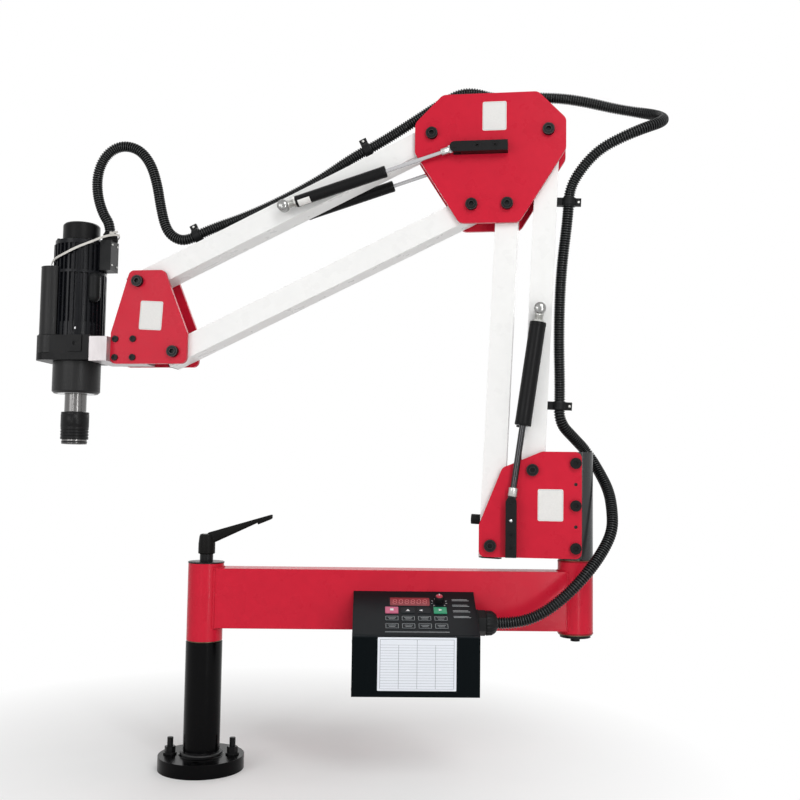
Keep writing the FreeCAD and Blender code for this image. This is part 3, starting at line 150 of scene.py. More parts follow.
CASE_LEFT, CASE_TOP = 251.5, 299.0
CASE_LONG = 202
CASE_RIGHT = CASE_LEFT + CASE_LONG
GLAND_Y, GLAND_Z = -70, 254
PANEL_DROP, CASE_DEEP = 57.0, 113.0
PANEL_TILT = math.atan2(PANEL_DROP, CASE_DEEP)
KNOB_AT = (142.0, -33.0)
KEY_COLUMNS = (63.3, 89.7, 116.1, 142.5)
KEY_ROW = -57


def shift(x=0.0, y=0.0, z=0.0):
    return Matrix.Translation((x, y, z))


def spun(angle, axis="Z"):
    return Matrix.Rotation(angle, 4, axis)


# turns that point a part's own Z along an axis
FACING = {"X": spun(math.pi / 2, "Y"), "Y": spun(-math.pi / 2, "X"), "-Y": spun(math.pi / 2, "X")}
ARM = shift(BEAM_SPAN) @ spun(ARM_YAW)


def in_arm(u, z, turn=0.0, y=0.0):
    """A frame at (u, y, z) of the arm plane, its Z turned from up towards +u."""
    return ARM @ shift(u, y, z) @ spun(turn, "Y")


def along(start, turn, at):
    return (start[0] + at * math.sin(turn), start[1] + at * math.cos(turn))


def spring_frames(ball, eye):
    """The frames of a pair of gas springs, front and rear, from the ball towards the eye."""
    turn = math.atan2(eye[0] - ball[0], eye[1] - ball[1])
    return [in_arm(*ball, turn) @ shift(y=y) for y in (-SPRING_PLANE, SPRING_PLANE)]


REAR_POST = in_arm(*HEEL, POST_LEAN)
FRONT_POST = in_arm(*FOOT, POST_LEAN)
UPPER_ARM = in_arm(*SHOULDER, ARM_TURN)
LOWER_ARM = in_arm(ELBOW[0] - LOWER_HALF, ELBOW[1] - ROW_GAP, ARM_TURN)
SPINDLE = in_arm(SPINDLE_U, 0)
POST_SPRINGS = spring_frames(along(HEEL, POST_LEAN, POST_BALL_AT), POST_EYE)
ARM_SPRINGS = spring_frames(along(SHOULDER, ARM_TURN, ARM_BALL_AT), ARM_EYE)
PANEL = shift(CASE_LEFT, -BEAM_HALF_DEEP, CASE_TOP) @ spun(PANEL_TILT, "X")
CASE_FACE = shift(y=-BEAM_HALF_DEEP - CASE_DEEP) @ FACING["-Y"]

# ---- materials


class Nodes:
    """Adds and links the nodes of one tree."""

    def __init__(self, tree):
        self.tree = tree

    def add(self, kind, **sockets):
        item = self.tree.nodes.new(kind)
        for key, value in sockets.items():
            item.inputs[key.replace("_", " ")].default_value = value
        return item

    def link(self, source, target):
        self.tree.links.new(source, target)

    def math(self, operation, one, two):
        item = self.add("ShaderNodeMath")
        item.operation = operation
        self.link(one, item.inputs[0])
        self.link(two, item.inputs[1])
        return item.outputs[0]

    def seen_directly(self):
        """1 for camera, glossy and transmission rays, 0 for the rest."""
        path = self.add("ShaderNodeLightPath").outputs
        value = path["Is Camera Ray"]
        for name in ("Is Glossy Ray", "Is Transmission Ray"):
            value = self.math("MAXIMUM", value, path[name])
        return value

    def mix_shaders(self, share, one, two, target):
        mix = self.add("ShaderNodeMixShader")
        for socket, source in zip(mix.inputs, (share, one, two)):
            self.link(source, socket)
        self.link(mix.outputs[0], target)


class Shader(Nodes):
    """One procedural material."""

    def __init__(self, name):
        self.material = bpy.data.materials.new(name)
        self.material.use_nodes = True
        super().__init__(self.material.node_tree)
        self.bsdf = self.tree.nodes["Principled BSDF"]
        self.place = self.add("ShaderNodeTexCoord").outputs["Object"]

    def noise(self, scale, detail=3.0, stretch=(1, 1, 1), rough=0.55):
        mapping = self.add("ShaderNodeMapping", Scale=stretch)
        self.link(self.place, mapping.inputs["Vector"])
        item = self.add("ShaderNodeTexNoise", Scale=scale, Detail=detail, Roughness=rough)
        self.link(mapping.outputs["Vector"], item.inputs["Vector"])
        return item.outputs["Fac"]

    def ramp(self, source, low, high, from_low=0.3, from_high=0.7):
        item = self.add("ShaderNodeMapRange", From_Min=from_low, From_Max=from_high, To_Min=low, To_Max=high)
        self.link(source, item.inputs["Value"])
        return item.outputs["Result"]

    def mix(self, factor, one, two):
        item = self.add("ShaderNodeMix")
        item.data_type = "RGBA"
        self.link(factor, item.inputs["Factor"])
        for name, value in (("A", one), ("B", two)):
            target = [s for s in item.inputs if s.name == name and s.type == "RGBA"][0]
            if isinstance(value, bpy.types.NodeSocket):
                self.link(value, target)
            else:
                target.default_value = (*value, 1)
        return [s for s in item.outputs if s.type == "RGBA"][0]


def tinted(colour, factor):
    return tuple(min(1.0, c * factor) for c in colour)


MAT = {}


def surface(name, colour, rough, metal=0.0, vary=0.08, grain=140, stretch=(1, 1, 1), rough_span=0.06,
            bump=0.06, bump_scale=900, bump_depth=0.0002, coat=0.0, coat_rough=0.08, worn=None,
            worn_share=0.6, specular=0.5):
    """A finish with fine grain, slow drift of tone, uneven gloss and a fine relief."""
    s = Shader(name)
    fine = s.noise(grain, 4.0, stretch)
    slow = s.noise(7.0, 2.0)
    tone = s.mix(s.ramp(fine, 0, 1), tinted(colour, 1 - vary), tinted(colour, 1 + vary))
    tone = s.mix(s.ramp(slow, 0, 0.35), tone, tinted(colour, 1 - 1.6 * vary))
    if worn:
        patches = s.noise(26.0, 6.0, stretch, 0.7)
        tone = s.mix(s.ramp(patches, 0, 1, worn_share, worn_share + 0.12), tone, worn)
    s.link(tone, s.bsdf.inputs["Base Color"])
    smear = s.noise(30.0, 4.0, stretch)
    s.link(s.ramp(smear, max(0.02, rough - rough_span), rough + rough_span), s.bsdf.inputs["Roughness"])
    relief = s.add("ShaderNodeBump", Strength=bump, Distance=bump_depth)
    s.link(s.noise(bump_scale, 2.0, stretch), relief.inputs["Height"])
    s.link(relief.outputs["Normal"], s.bsdf.inputs["Normal"])
    for socket, value in (("Metallic", metal), ("Specular IOR Level", specular), ("Coat Weight", coat),
                          ("Coat Roughness", coat_rough)):
        s.bsdf.inputs[socket].default_value = value
    MAT[name] = s.material


RINGS = (0.15, 0.15, 6.0)  # grain drawn out round a turned part
surface("red", (0.575, 0.012, 0.034), 0.30, vary=0.035, grain=60, bump=0.05, bump_scale=420, specular=0.13,
        coat=0.04, coat_rough=0.10)
surface("white", (0.86, 0.86, 0.85), 0.30, vary=0.015, grain=50, bump=0.03, bump_scale=380, specular=0.3)
surface("black_gloss", (0.0015, 0.0015, 0.0018), 0.20, vary=0.25, bump=0.04, bump_scale=300, specular=0.08,
        worn=(0.004, 0.004, 0.0045), worn_share=0.66)
surface("black_oxide", (0.008, 0.008, 0.0085), 0.34, vary=0.25, grain=260, bump=0.08, specular=0.14,
        worn=(0.030, 0.029, 0.027), worn_share=0.66)
surface("black_bar", (0.024, 0.026, 0.027), 0.25, vary=0.04, grain=90, rough_span=0.03, bump=0.02,
        bump_scale=500, specular=0.42)
surface("ground", (0.46, 0.46, 0.47), 0.26, metal=1.0, vary=0.06, grain=300, stretch=RINGS, bump=0.04,
        bump_scale=500)
# spindle nose steel, darker than the other ground steel to stand for dark surroundings it reflects: a painted
# dark reflection
surface("nose_painted_dark_reflection", (0.155, 0.152, 0.15), 0.22, metal=1.0, vary=0.05, grain=220, stretch=RINGS, bump=0.02,
        bump_scale=500, rough_span=0.03)
surface("chrome", (0.55, 0.55, 0.56), 0.13, metal=1.0, vary=0.03, grain=200, rough_span=0.03, bump=0.0)
# chrome of the post springs' rods, darkened to stand for dark surroundings it reflects: a painted dark
# reflection
surface("chrome_painted_dark_reflection", (0.045, 0.045, 0.047), 0.12, metal=1.0, vary=0.05, grain=200, rough_span=0.03,
        bump=0.0)
surface("cup", (0.30, 0.30, 0.295), 0.20, metal=1.0, grain=220, rough_span=0.04, bump=0.03)
surface("edge", (0.065, 0.065, 0.066), 0.30, metal=0.7, vary=0.12, grain=260, bump=0.04)
surface("zinc", (0.50, 0.50, 0.48), 0.30, metal=1.0, grain=180, bump=0.05)
surface("black_alu", (0.006, 0.006, 0.0065), 0.36, vary=0.20, grain=320, bump=0.08, bump_scale=1200,
        specular=0.12, worn=(0.016, 0.016, 0.017), worn_share=0.7)
surface("grey_alu", (0.017, 0.017, 0.0175), 0.34, vary=0.12, grain=260, stretch=RINGS, bump_scale=700,
        specular=0.17)
surface("motor", (0.005, 0.0055, 0.0075), 0.24, vary=0.25, grain=200, bump=0.12, bump_scale=650,
        specular=0.16, worn=(0.013, 0.015, 0.020), worn_share=0.62)
surface("milled", (0.50, 0.47, 0.475), 0.36, metal=0.45, vary=0.05, grain=160, stretch=(0.3, 5.0, 0.3),
        bump=0.08, bump_scale=420)
surface("bronze", (0.13, 0.095, 0.060), 0.34, metal=1.0, vary=0.12)
surface("plastic", (0.008, 0.0085, 0.009), 0.40, vary=0.15, grain=300, bump=0.10, bump_scale=1500,
        specular=0.14)
surface("conduit", (0.0015, 0.0020, 0.0022), 0.30, vary=0.18, grain=240, bump=0.03, bump_scale=1200,
        specular=0.12)
# the conduit's rib crests: glossier, and lighter in colour as a painted highlight on each rib
surface("crest_painted_highlight", (0.026, 0.029, 0.030), 0.18, vary=0.15, grain=240, bump=0.03, bump_scale=1200,
        specular=0.45)
surface("case", (0.0022, 0.0040, 0.0050), 0.44, vary=0.20, grain=500, bump=0.16, bump_scale=1300,
        specular=0.035)
surface("film", (0.0075, 0.0100, 0.0118), 0.36, grain=400, bump=0.05, bump_scale=1600, specular=0.07)
surface("paper", (0.74, 0.77, 0.82), 0.55, vary=0.02, grain=700, bump=0.04, specular=0.2)
surface("label", (0.76, 0.75, 0.73), 0.38, vary=0.03, grain=300, bump=0.04, specular=0.3)
surface("nylon", (0.66, 0.64, 0.60), 0.40, vary=0.05, grain=200, bump=0.05, specular=0.3)
surface("weld", (0.008, 0.008, 0.0085), 0.36, metal=0.3, vary=0.25, grain=90, bump=0.2, bump_scale=260)
surface("cast", (0.0045, 0.0042, 0.0038), 0.42, vary=0.2, grain=420, bump=0.40, bump_depth=0.0004,
        specular=0.09)
# plain small finishes
for name, colour, rough, vary, bump, specular in (
    ("film_light", (0.40, 0.43, 0.44), 0.45, 0.05, 0.05, 0.2),
    ("key_dark", (0.010, 0.0135, 0.016), 0.35, 0.08, 0.05, 0.09),
    ("print", (0.78, 0.80, 0.81), 0.45, 0.03, 0.04, 0.2),
    ("stop", (0.60, 0.14, 0.24), 0.38, 0.05, 0.05, 0.3),
    ("start", (0.030, 0.30, 0.15), 0.38, 0.05, 0.05, 0.3),
    ("window", (0.27, 0.035, 0.045), 0.16, 0.06, 0.02, 0.3),
    ("digit", (0.60, 0.15, 0.16), 0.30, 0.04, 0.02, 0.3),
    ("knob", (0.007, 0.007, 0.008), 0.30, 0.1, 0.06, 0.2),
    ("knob_red", (0.42, 0.02, 0.045), 0.32, 0.08, 0.05, 0.35),
    ("rule", (0.24, 0.26, 0.29), 0.55, 0.08, 0.03, 0.2),
    # darker red for the swivel hub's end rings: painted shade
    ("red_painted_shade", (0.30, 0.006, 0.014), 0.42, 0.10, 0.10, 0.2),
    ("rubber", (0.010, 0.010, 0.010), 0.65, 0.18, 0.15, 0.1)):
    surface(name, colour, rough, vary=vary, bump=bump, specular=specular)

NODE_MATERIAL = {
    "red": "pivot_hub cross_beam swivel_hub bracket_plate_front bracket_plate_rear elbow_plate_front "
           "elbow_plate_rear head_plate_front head_plate_rear",
    "white": "rear_post front_post upper_arm lower_arm",
    "black_gloss": "base_column",
    "black_oxide": "clamp_stud swivel_retainer bracket_bolts elbow_bolts head_bolts post_spring_lugs "
                   "arm_spring_lugs hold_down_bolts chuck_collar",
    "black_bar": "swivel_post",
    "grey_alu": "spindle_housing side_cover",
    "ground": "pivot_shaft spindle_bearings",
    "nose_painted_dark_reflection": "spindle_shaft",
    "chrome": "arm_spring_rods post_ball_studs arm_ball_studs",
    "chrome_painted_dark_reflection": "post_spring_rods",
    "black_alu": "spindle_clamp motor_cap post_spring_cylinders arm_spring_cylinders",
    "motor": "servo_motor",
    "milled": "head_block",
    "bronze": "hub_bushes rear_post_bushes front_post_bushes upper_arm_bushes lower_arm_bushes",
    "rubber": "fold_buffer",
    "plastic": "post_clips arm_clips motor_connector cable_gland",
    "conduit": "conduit_beam conduit_post conduit_elbow conduit_arm conduit_head",
    "cast": "clamp_lever",
    "case": "control_case",
    "film": "control_panel",
    "stop": "stop_key",
    "start": "start_key",
    "knob": "control_knob",
}
ROUNDING = {
    3.0: "cross_beam",
    2.5: "rear_post front_post upper_arm lower_arm motor_connector",
    1.6: "control_case",
    1.5: "spindle_clamp motor_cap fold_buffer",
    1.2: "side_cover",
    1.0: "swivel_post post_clips arm_clips cable_gland",
    0.8: "stop_key start_key head_block",
}


def modify(owner, name, kind, **values):
    """Add a modifier and set its values."""
    item = owner.modifiers.new(name, kind)
    for key, value in values.items():
        setattr(item, key, value)


def round_edges(owner, width, **more):
    modify(owner, "rounding", "BEVEL", width=width * MM, segments=3, limit_method="ANGLE",
           angle_limit=math.radians(40), **more)


def dress_nodes():
    """Give every CAD node its finish and lightly rounded edges."""
    widths = {name: width for width, names in ROUNDING.items() for name in names.split()}
    for finish, names in NODE_MATERIAL.items():
        for name in names.split():
            node = NODES[name]
            node.data.materials.clear()
            node.data.materials.append(MAT[finish])
            modify(node, "weld", "WELD", merge_threshold=2e-6)
            modify(node, "flat_faces", "DECIMATE", decimate_type="DISSOLVE", angle_limit=math.radians(0.4))
            round_edges(node, widths.get(name, 0.5), use_clamp_overlap=True)
            modify(node, "even_normals", "WEIGHTED_NORMAL", weight=100)
            for face in node.data.polygons:
                face.use_smooth = True


dress_nodes()

# ---- mesh helpers


# finishes with their slots, as most pieces have them
OXIDE = ("black_oxide", "black_steel")
ZINC = ("zinc", "bright_steel")
MOULDING = ("plastic", "black_plastic")


def make_piece(name, bm, finish, slot, body, place=None, rounding=0.0, sharp=35.0, scale=MM):
    """Turn a bmesh in millimetres into a piece in metres that rides on a body."""
    if place is not None:
        bm.transform(place)
    bm.transform(Matrix.Scale(scale, 4))
    bmesh.ops.recalc_face_normals(bm, faces=bm.faces)
    for face in bm.faces:
        face.smooth = True
    if not rounding:
        limit = math.radians(sharp)
        for edge in bm.edges:
            if len(edge.link_faces) == 2 and edge.calc_face_angle(0) > limit:
                edge.smooth = False
    mesh = bpy.data.meshes.new(name)
    bm.to_mesh(mesh)
    bm.free()
    mesh.materials.append(MAT[finish])
    piece = new_object(name, mesh)
    if rounding:
        round_edges(piece, rounding, harden_normals=True)
    if body:
        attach(piece, body)
    return piece


def join_rings(bm, low, high):
    """Faces between two rings, of which one may be a single point."""
    count = max(len(low), len(high))
    for i in range(count):
        j = (i + 1) % count
        corners = (low[i % len(low)], low[j % len(low)], high[j % len(high)], high[i % len(high)])
        bm.faces.new(list(dict.fromkeys(corners)))


def skin(bm, rings, closed=False, capped=True):
    """Join neighbouring rings; a closed run meets itself, and an open one may get end faces."""
    for low, high in zip(rings, rings[1:]):
        join_rings(bm, low, high)
    if closed:
        join_rings(bm, rings[-1], rings[0])
    elif capped:
        bm.faces.new(rings[0][::-1])
        bm.faces.new(rings[-1])


def circle(radius, sides):
    turns = [2 * math.pi * k / sides for k in range(sides)]
    return [(radius * math.cos(a), radius * math.sin(a)) for a in turns]


def arc(radius, start, sweep, steps):
    """Points of an arc, both ends among them, its angles in degrees."""
    turns = [math.radians(start + sweep * i / steps) for i in range(steps + 1)]
    return [(radius * math.cos(a), radius * math.sin(a)) for a in turns]


def add_lathe(bm, profile, place=None, segments=48):
    """Turn (radius, height) pairs about Z; ends on the axis close by themselves."""
    place = place or Matrix()
    rings = []
    for radius, height in profile:
        outline = circle(radius, segments) if radius > 1e-6 else [(0, 0)]
        rings.append([bm.verts.new(place @ Vector((x, y, height))) for x, y in outline])
    skin(bm, rings, capped=False)


def add_ring(bm, profile, place=None, segments=48):
    """A closed profile turned about Z: a ring with a bore."""
    add_lathe(bm, [*profile, profile[0]], place, segments)
    bmesh.ops.remove_doubles(bm, verts=bm.verts, dist=1e-5)


def add_fluted(bm, stations, flutes, segments, capped=True):
    """A turned body with flutes, by (height, radius, half the flutes' depth)."""
    rings = []
    for z, radius, flute in stations:
        ring = []
        for i in range(segments):
            a = 2 * math.pi * i / segments
            r = radius + flute * math.cos(flutes * a)
            ring.append(bm.verts.new((r * math.cos(a), r * math.sin(a), z)))
        rings.append(ring)
    skin(bm, rings, capped=capped)


def turned_piece(name, finish, slot, body, profile, places, segments=48, add=add_lathe):
    """A piece of one profile turned at each place."""
    bm = bmesh.new()
    for place in places:
        add(bm, profile, place, segments)
    return make_piece(name, bm, finish, slot, body)


def flat_piece(name, finish, slot, body, outline, low, high, place, rounding=0.0):
    """A piece that is a prism over one outline."""
    bm = bmesh.new()
    add_outline(bm, outline, low, high, place)
    make_piece(name, bm, finish, slot, body, rounding=rounding)


def add_slab(bm, size, centre, place=None):
    """A box by its size and centre."""
    matrix = (place or Matrix()) @ shift(*centre) @ Matrix.Diagonal((*size, 1))
    bmesh.ops.create_cube(bm, size=1.0, matrix=matrix)


def add_outline(bm, points, low, high, place=None):
    """A prism over an outline in XY, from low to high."""
    place = place or Matrix()
    bottom, top = [[bm.verts.new(place @ Vector((x, y, z))) for x, y in points] for z in (low, high)]
    bm.faces.new(bottom[::-1])
    bm.faces.new(top)
    join_rings(bm, bottom, top)


def rounded_box(width, height, corner, steps, centre=(0, 0)):
    """Outline of a rectangle with round corners."""
    points = []
    for sx, sy, start in ((1, 1, 0), (-1, 1, 90), (-1, -1, 180), (1, -1, 270)):
        x0 = centre[0] + sx * (width / 2 - corner)
        y0 = centre[1] + sy * (height / 2 - corner)
        points += [(x0 + x, y0 + y) for x, y in arc(corner, start, 90, steps)]
    return points


def sweep_rings(bm, centres, section, closed=False, axis=None):
    """Carry section(i), a local outline, along a line of points, and face it away from an upright axis."""
    count = len(centres)
    rings = []
    normal = None
    for i, centre in enumerate(centres):
        before = centres[(i - 1) % count] if closed or i else centre
        after = centres[(i + 1) % count] if closed or i < count - 1 else centre
        tangent = (after - before).normalized()
        if axis is not None:
            normal = (centre - axis).to_2d().normalized().to_3d()
        elif normal is None:
            normal = tangent.orthogonal().normalized()
        normal = (normal - tangent * normal.dot(tangent)).normalized()
        side = tangent.cross(normal)
        rings.append([bm.verts.new(centre + normal * a + side * b) for a, b in section(i)])
    skin(bm, rings, closed)


def curve_points(name, route, resolution, cyclic=False):
    """Fine points of a route's own NURBS line."""
    curve = bpy.data.curves.new(name, "CURVE")
    curve.dimensions = "3D"
    curve.resolution_u = resolution
    spline = curve.splines.new("NURBS")
    spline.points.add(len(route) - 1)
    for target, point in zip(spline.points, route):
        target.co = (*point, 1)
    spline.order_u = 3
    if cyclic:
        spline.use_cyclic_u = True
    else:
        spline.use_endpoint_u = True
    holder = new_object(name, curve)
    bpy.context.view_layer.update()
    mesh = bpy.data.meshes.new_from_object(holder)
    points = [vert.co.copy() for vert in mesh.vertices]
    bpy.data.objects.remove(holder)
    bpy.data.curves.remove(curve)
    bpy.data.meshes.remove(mesh)
    return points


# ---- conduit (metres)


def in_plane(*points):
    """Points of the arm plane as (u, y, z)."""
    return [(ARM @ Vector([1000 * value for value in point])) * MM for point in points]


def beside(start, turn, at, off, y=0.0):
    """A point along a tube from its first pivot and off its axis, in metres."""
    u = start[0] * MM + at * math.sin(turn) + off * math.cos(turn)
    z = start[1] * MM + at * math.cos(turn) - off * math.sin(turn)
    return in_plane((u, y, z))[0]


def by_post(at, off):
    return beside(HEEL, POST_LEAN, at, off)


def by_arm(at, off, y=0.0):
    return beside(SHOULDER, ARM_TURN, at, off, y)


OFF = CLIP_OFF * MM
INLET_U = (SPINDLE_U + CONNECTOR_COLLAR_AT) * MM
INLET_Z = (CLAMP_TOP + CONNECTOR_TOP + CONNECTOR_COLLAR_TALL) * MM
ROUTE = [
    Vector((0.4865, -0.070, 0.254)), Vector((0.5185, -0.070, 0.254)), Vector((0.559, -0.076, 0.268)),
    Vector((0.601, -0.079, 0.300)), Vector((0.639, -0.072, 0.339)),
    *in_plane((0.046, -0.047, 0.374), (0.061, -0.032, 0.4055), (0.062, -0.012, 0.4375),
              (0.058, 0.014, 0.4715), (0.042, 0.036, 0.5055), (0.022, 0.056, 0.5395), (0.0, 0.030, 0.5615)),
    by_post(0.086, OFF), by_post(0.138, OFF), by_post(0.240, OFF - 0.007), by_post(0.350, OFF - 0.008),
    by_post(0.4515, OFF), by_post(0.4995, OFF),
    *in_plane((0.010, -0.016, 1.036), (0.040, -0.030, 1.064), (0.080, -0.036, 1.083), (0.118, -0.032, 1.099),
              (0.146, -0.018, 1.112), (0.154, 0.006, 1.127), (0.140, 0.028, 1.142), (0.110, 0.040, 1.152),
              (0.068, 0.040, 1.161), (0.020, 0.028, 1.170), (-0.026, 0.017, 1.175), (-0.080, 0.011, 1.176),
              (-0.138, 0.008, 1.173), (-0.196, 0.007, 1.192), (-0.242, 0.004, 1.168), (-0.295, 0.001, 1.133)),
    by_arm(0.093, OFF), by_arm(0.141, OFF), by_arm(0.230, OFF - 0.008, 0.013),
    by_arm(0.355, OFF - 0.008, 0.013), by_arm(0.446, OFF), by_arm(0.494, OFF),
    *in_plane((-0.740, 0, 0.930), (-0.757, 0, 0.949), (-0.768, 0, 0.990), (-0.776, 0, 1.033),
              (-0.790, 0, 1.074), (-0.815, 0, 1.103), (-0.851, 0, 1.111), (-0.881, 0, 1.093),
              (-0.896, 0, 1.058), (-0.895, 0, 1.017), (-0.882, 0, 0.979),
              (INLET_U, 0, INLET_Z + 0.024), (INLET_U, 0, INLET_Z)),
]
CONDUIT_RADIUS = 0.0098
CREST_EDGE = 0.0095
GROOVE_RADIUS = 0.0079
RIB_PITCH = 0.0044
SIDES = 20
RIB_PROFILE = ((0.0, GROOVE_RADIUS), (0.14, CREST_EDGE), (0.24, CONDUIT_RADIUS), (0.48, CONDUIT_RADIUS),
               (0.58, CREST_EDGE), (0.72, GROOVE_RADIUS))


class Line:
    """A polyline with its lengths, so that ribs stand at even steps."""

    def __init__(self, points):
        self.points = points
        self.at = [0.0]
        for a, b in zip(points, points[1:]):
            self.at.append(self.at[-1] + (b - a).length)
        self.length = self.at[-1]

    def point(self, s):
        s = min(max(s, 0.0), self.length)
        i = min(bisect.bisect_left(self.at, s, 1), len(self.at) - 1)
        span = max(self.at[i] - self.at[i - 1], 1e-9)
        return self.points[i - 1].lerp(self.points[i], (s - self.at[i - 1]) / span)

    def nearest(self, place):
        best = min(range(len(self.points)), key=lambda i: (self.points[i] - place).length)
        return self.at[best]


conduit_line = Line(curve_points("conduit_line", ROUTE, 24))


def ribbed(name, start, end):
    """One stretch of corrugated conduit between two distances along the line."""
    steps = max(2, round((end - start) / RIB_PITCH))
    pitch = (end - start) / steps
    centres = []
    radii = []
    for i in range(steps):
        for share, radius in RIB_PROFILE:
            centres.append(conduit_line.point(start + (i + share) * pitch))
            radii.append(radius)
    centres.append(conduit_line.point(end))
    radii.append(GROOVE_RADIUS)
    bm = bmesh.new()
    sweep_rings(bm, centres, lambda i: circle(radii[i], SIDES))
    bm.faces.ensure_lookup_table()
    # crest faces take the crest finish, whose lighter colour is a painted highlight
    for ring in range(len(centres) - 1):
        if radii[ring] == radii[ring + 1] == CONDUIT_RADIUS:
            for face in bm.faces[ring * SIDES:(ring + 1) * SIDES]:
                face.material_index = 1
    piece = make_piece(name, bm, "conduit", "black_plastic", None, sharp=60, scale=1.0)
    piece.data.materials.append(MAT["crest_painted_highlight"])
    return piece


def halfway(i):
    """The distance along the line halfway between one control point and the next."""
    return conduit_line.nearest((ROUTE[i] + ROUTE[i + 1]) / 2)


def held(name, start, end, body, node):
    """A stretch between two clips on one body."""
    piece = ribbed(name, start, end)
    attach(piece, body)
    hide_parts(node)


def bending(name, start, end, node, parts=1):
    """A stretch between two bodies, in parts that are baked in place and ride on no body."""
    step = (end - start) / parts
    for i in range(parts):
        low = start + i * step
        label = name if parts == 1 else "%s_%d" % (name, i + 1)
        piece = ribbed(label, low, low + step)
        whole = (conduit_line.point(low + step) - conduit_line.point(low)) * parts
        origin = conduit_line.point(low) - whole * i / parts
        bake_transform(piece)
        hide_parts(node)


def build_conduit():
    post_seam, low_clip, high_clip, near_clip, far_clip = [halfway(i) for i in (4, 12, 16, 34, 38)]
    over_elbow = conduit_line.nearest(in_plane((-0.192, 0.006, 1.185))[0])
    held("conduit_up_post", low_clip, high_clip, "back_post", "conduit_post")
    held("conduit_along_arm", near_clip, far_clip, "top_arm", "conduit_arm")
    bending("conduit_at_box", 0.0, post_seam, "conduit_beam")
    bending("conduit_round_post", post_seam, low_clip, "conduit_post")
    bending("conduit_loop", high_clip, over_elbow, "conduit_elbow", 8)
    bending("conduit_over_elbow", over_elbow, near_clip, "conduit_elbow")
    bending("conduit_to_motor", far_clip, conduit_line.length, "conduit_head", 12)


build_conduit()

# ---- base and clamp lever


def add_thread(bm, radius, low, high, place):
    """A stud with fine thread ridges."""
    pitch = 1.5
    root = radius - 0.55
    profile = [(0, low), (root, low)]
    for i in range(int((high - low) / pitch)):
        z = low + i * pitch
        profile += [(root, z + 0.1 * pitch), (radius, z + 0.5 * pitch), (root, z + 0.9 * pitch)]
    profile += [(root, high - 0.6), (root - 0.6, high), (0, high)]
    add_lathe(bm, profile, place, 32)


def build_base():
    bm = bmesh.new()
    for x in STUDS_AT:
        add_thread(bm, 5.15, 36.2, 50.6, shift(x))
    make_piece("stud_threads", bm, *OXIDE, "base", sharp=50)

    # a rippled weld at the column's foot
    bm = bmesh.new()
    bulge = (2.5, 2.9, 2.7)
    count = 96 * len(bulge)
    centres = []
    for i in range(count):
        a = 2 * math.pi * i / count
        radius = 32.8 + 0.2 * math.sin(a * 7)
        centres.append(Vector((radius * math.cos(a), radius * math.sin(a), 25.8)))
    sweep_rings(bm, centres, lambda i: circle(bulge[i % 3], 12), closed=True)
    make_piece("column_weld", bm, "weld", "black_steel", "base", sharp=70)

    turned_piece("stud_washers", *OXIDE, "base",
                 [(5.3, 25.8), (11.2, 25.8), (11.3, 24.0), (11.3, 23.1), (5.3, 23.1)],
                 [shift(x, 0, 0.25) for x in STUDS_AT], 40, add_ring)


def lever_section(x):
    """Bottom, top and half width of the lever's arm at x."""
    low = 12.6 + (53.2 - 12.6) / 86 * max(x, 0)
    if x > 86.5:
        low = 50.2 + (60 - 50.2) / 24.0 * (x - 86.5)
    high = 35.1 + (68 - 35.1) / 110.5 * x
    half = (17 + (12.5 - 17) * (x + 12.6) / 123.1) / 2
    return low, min(high, 68), half


def build_lever():
    """A cast clamp lever: a turned boss and a tapered arm with a thumb pad at its tip."""
    place = shift(z=HUB_TOP + SPACER_TALL + 0.3)
    bm = bmesh.new()
    add_lathe(bm, [(8.2, 0), (13.2, 0), (14.2, 1.0), (14.2, 17), (13.7, 21), (12.9, 29), (11.6, 32.4),
                   (8.6, 33.6), (8.0, 33.2), (7.4, 31.6), (0, 31.4)], segments=56)
    stations = [-6, -2, 3, 8, 14, 22, 32, 44, 56, 68, 78, 85.4, 86.6, 90, 98, 105, 109, 110.5]
    shrinks = {-6: 0.7, 109: 0.93, 110.5: 0.72}
    rings = []
    for x in stations:
        low, high, half = lever_section(x)
        if x < 3:
            low, high = low + 2, min(high, 32 + 0.3 * x)
        shrink = shrinks.get(x, 1.0)
        mid, tall = (low + high) / 2, (high - low) / 2 * shrink
        outline = rounded_box(2 * half * shrink, 2 * tall, min(half, tall) * 0.55 * shrink, 4)
        rings.append([bm.verts.new((x, a, mid + b)) for a, b in outline])
    skin(bm, rings)
    lever = make_piece("cast_lever", bm, "cast", "black_paint", "lever", place, sharp=40)
    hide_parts("clamp_lever")
    turned_piece("lever_screw", *ZINC, "lever",
                 [(0, 31.5), (3.6, 31.5), (4.2, 32.2), (7.0, 32.2), (7.0, 32.9), (6.4, 33.5), (3.9, 33.5),
                  (3.3, 32.4), (0, 32.4)], [place], 32)


build_base()
build_lever()

# ---- beam


def bead(bm, points, radius=2.2):
    """A rippled weld bead along a line of points."""
    step, ripple = 2.4, 0.35
    line = Line([Vector(p) for p in points])
    count = max(4, round(line.length / step) * 3)
    centres = [line.point(line.length * i / count) for i in range(count + 1)]
    sizes = (radius - ripple, radius + ripple, radius)
    sweep_rings(bm, centres, lambda i: circle(sizes[i % 3], 10))


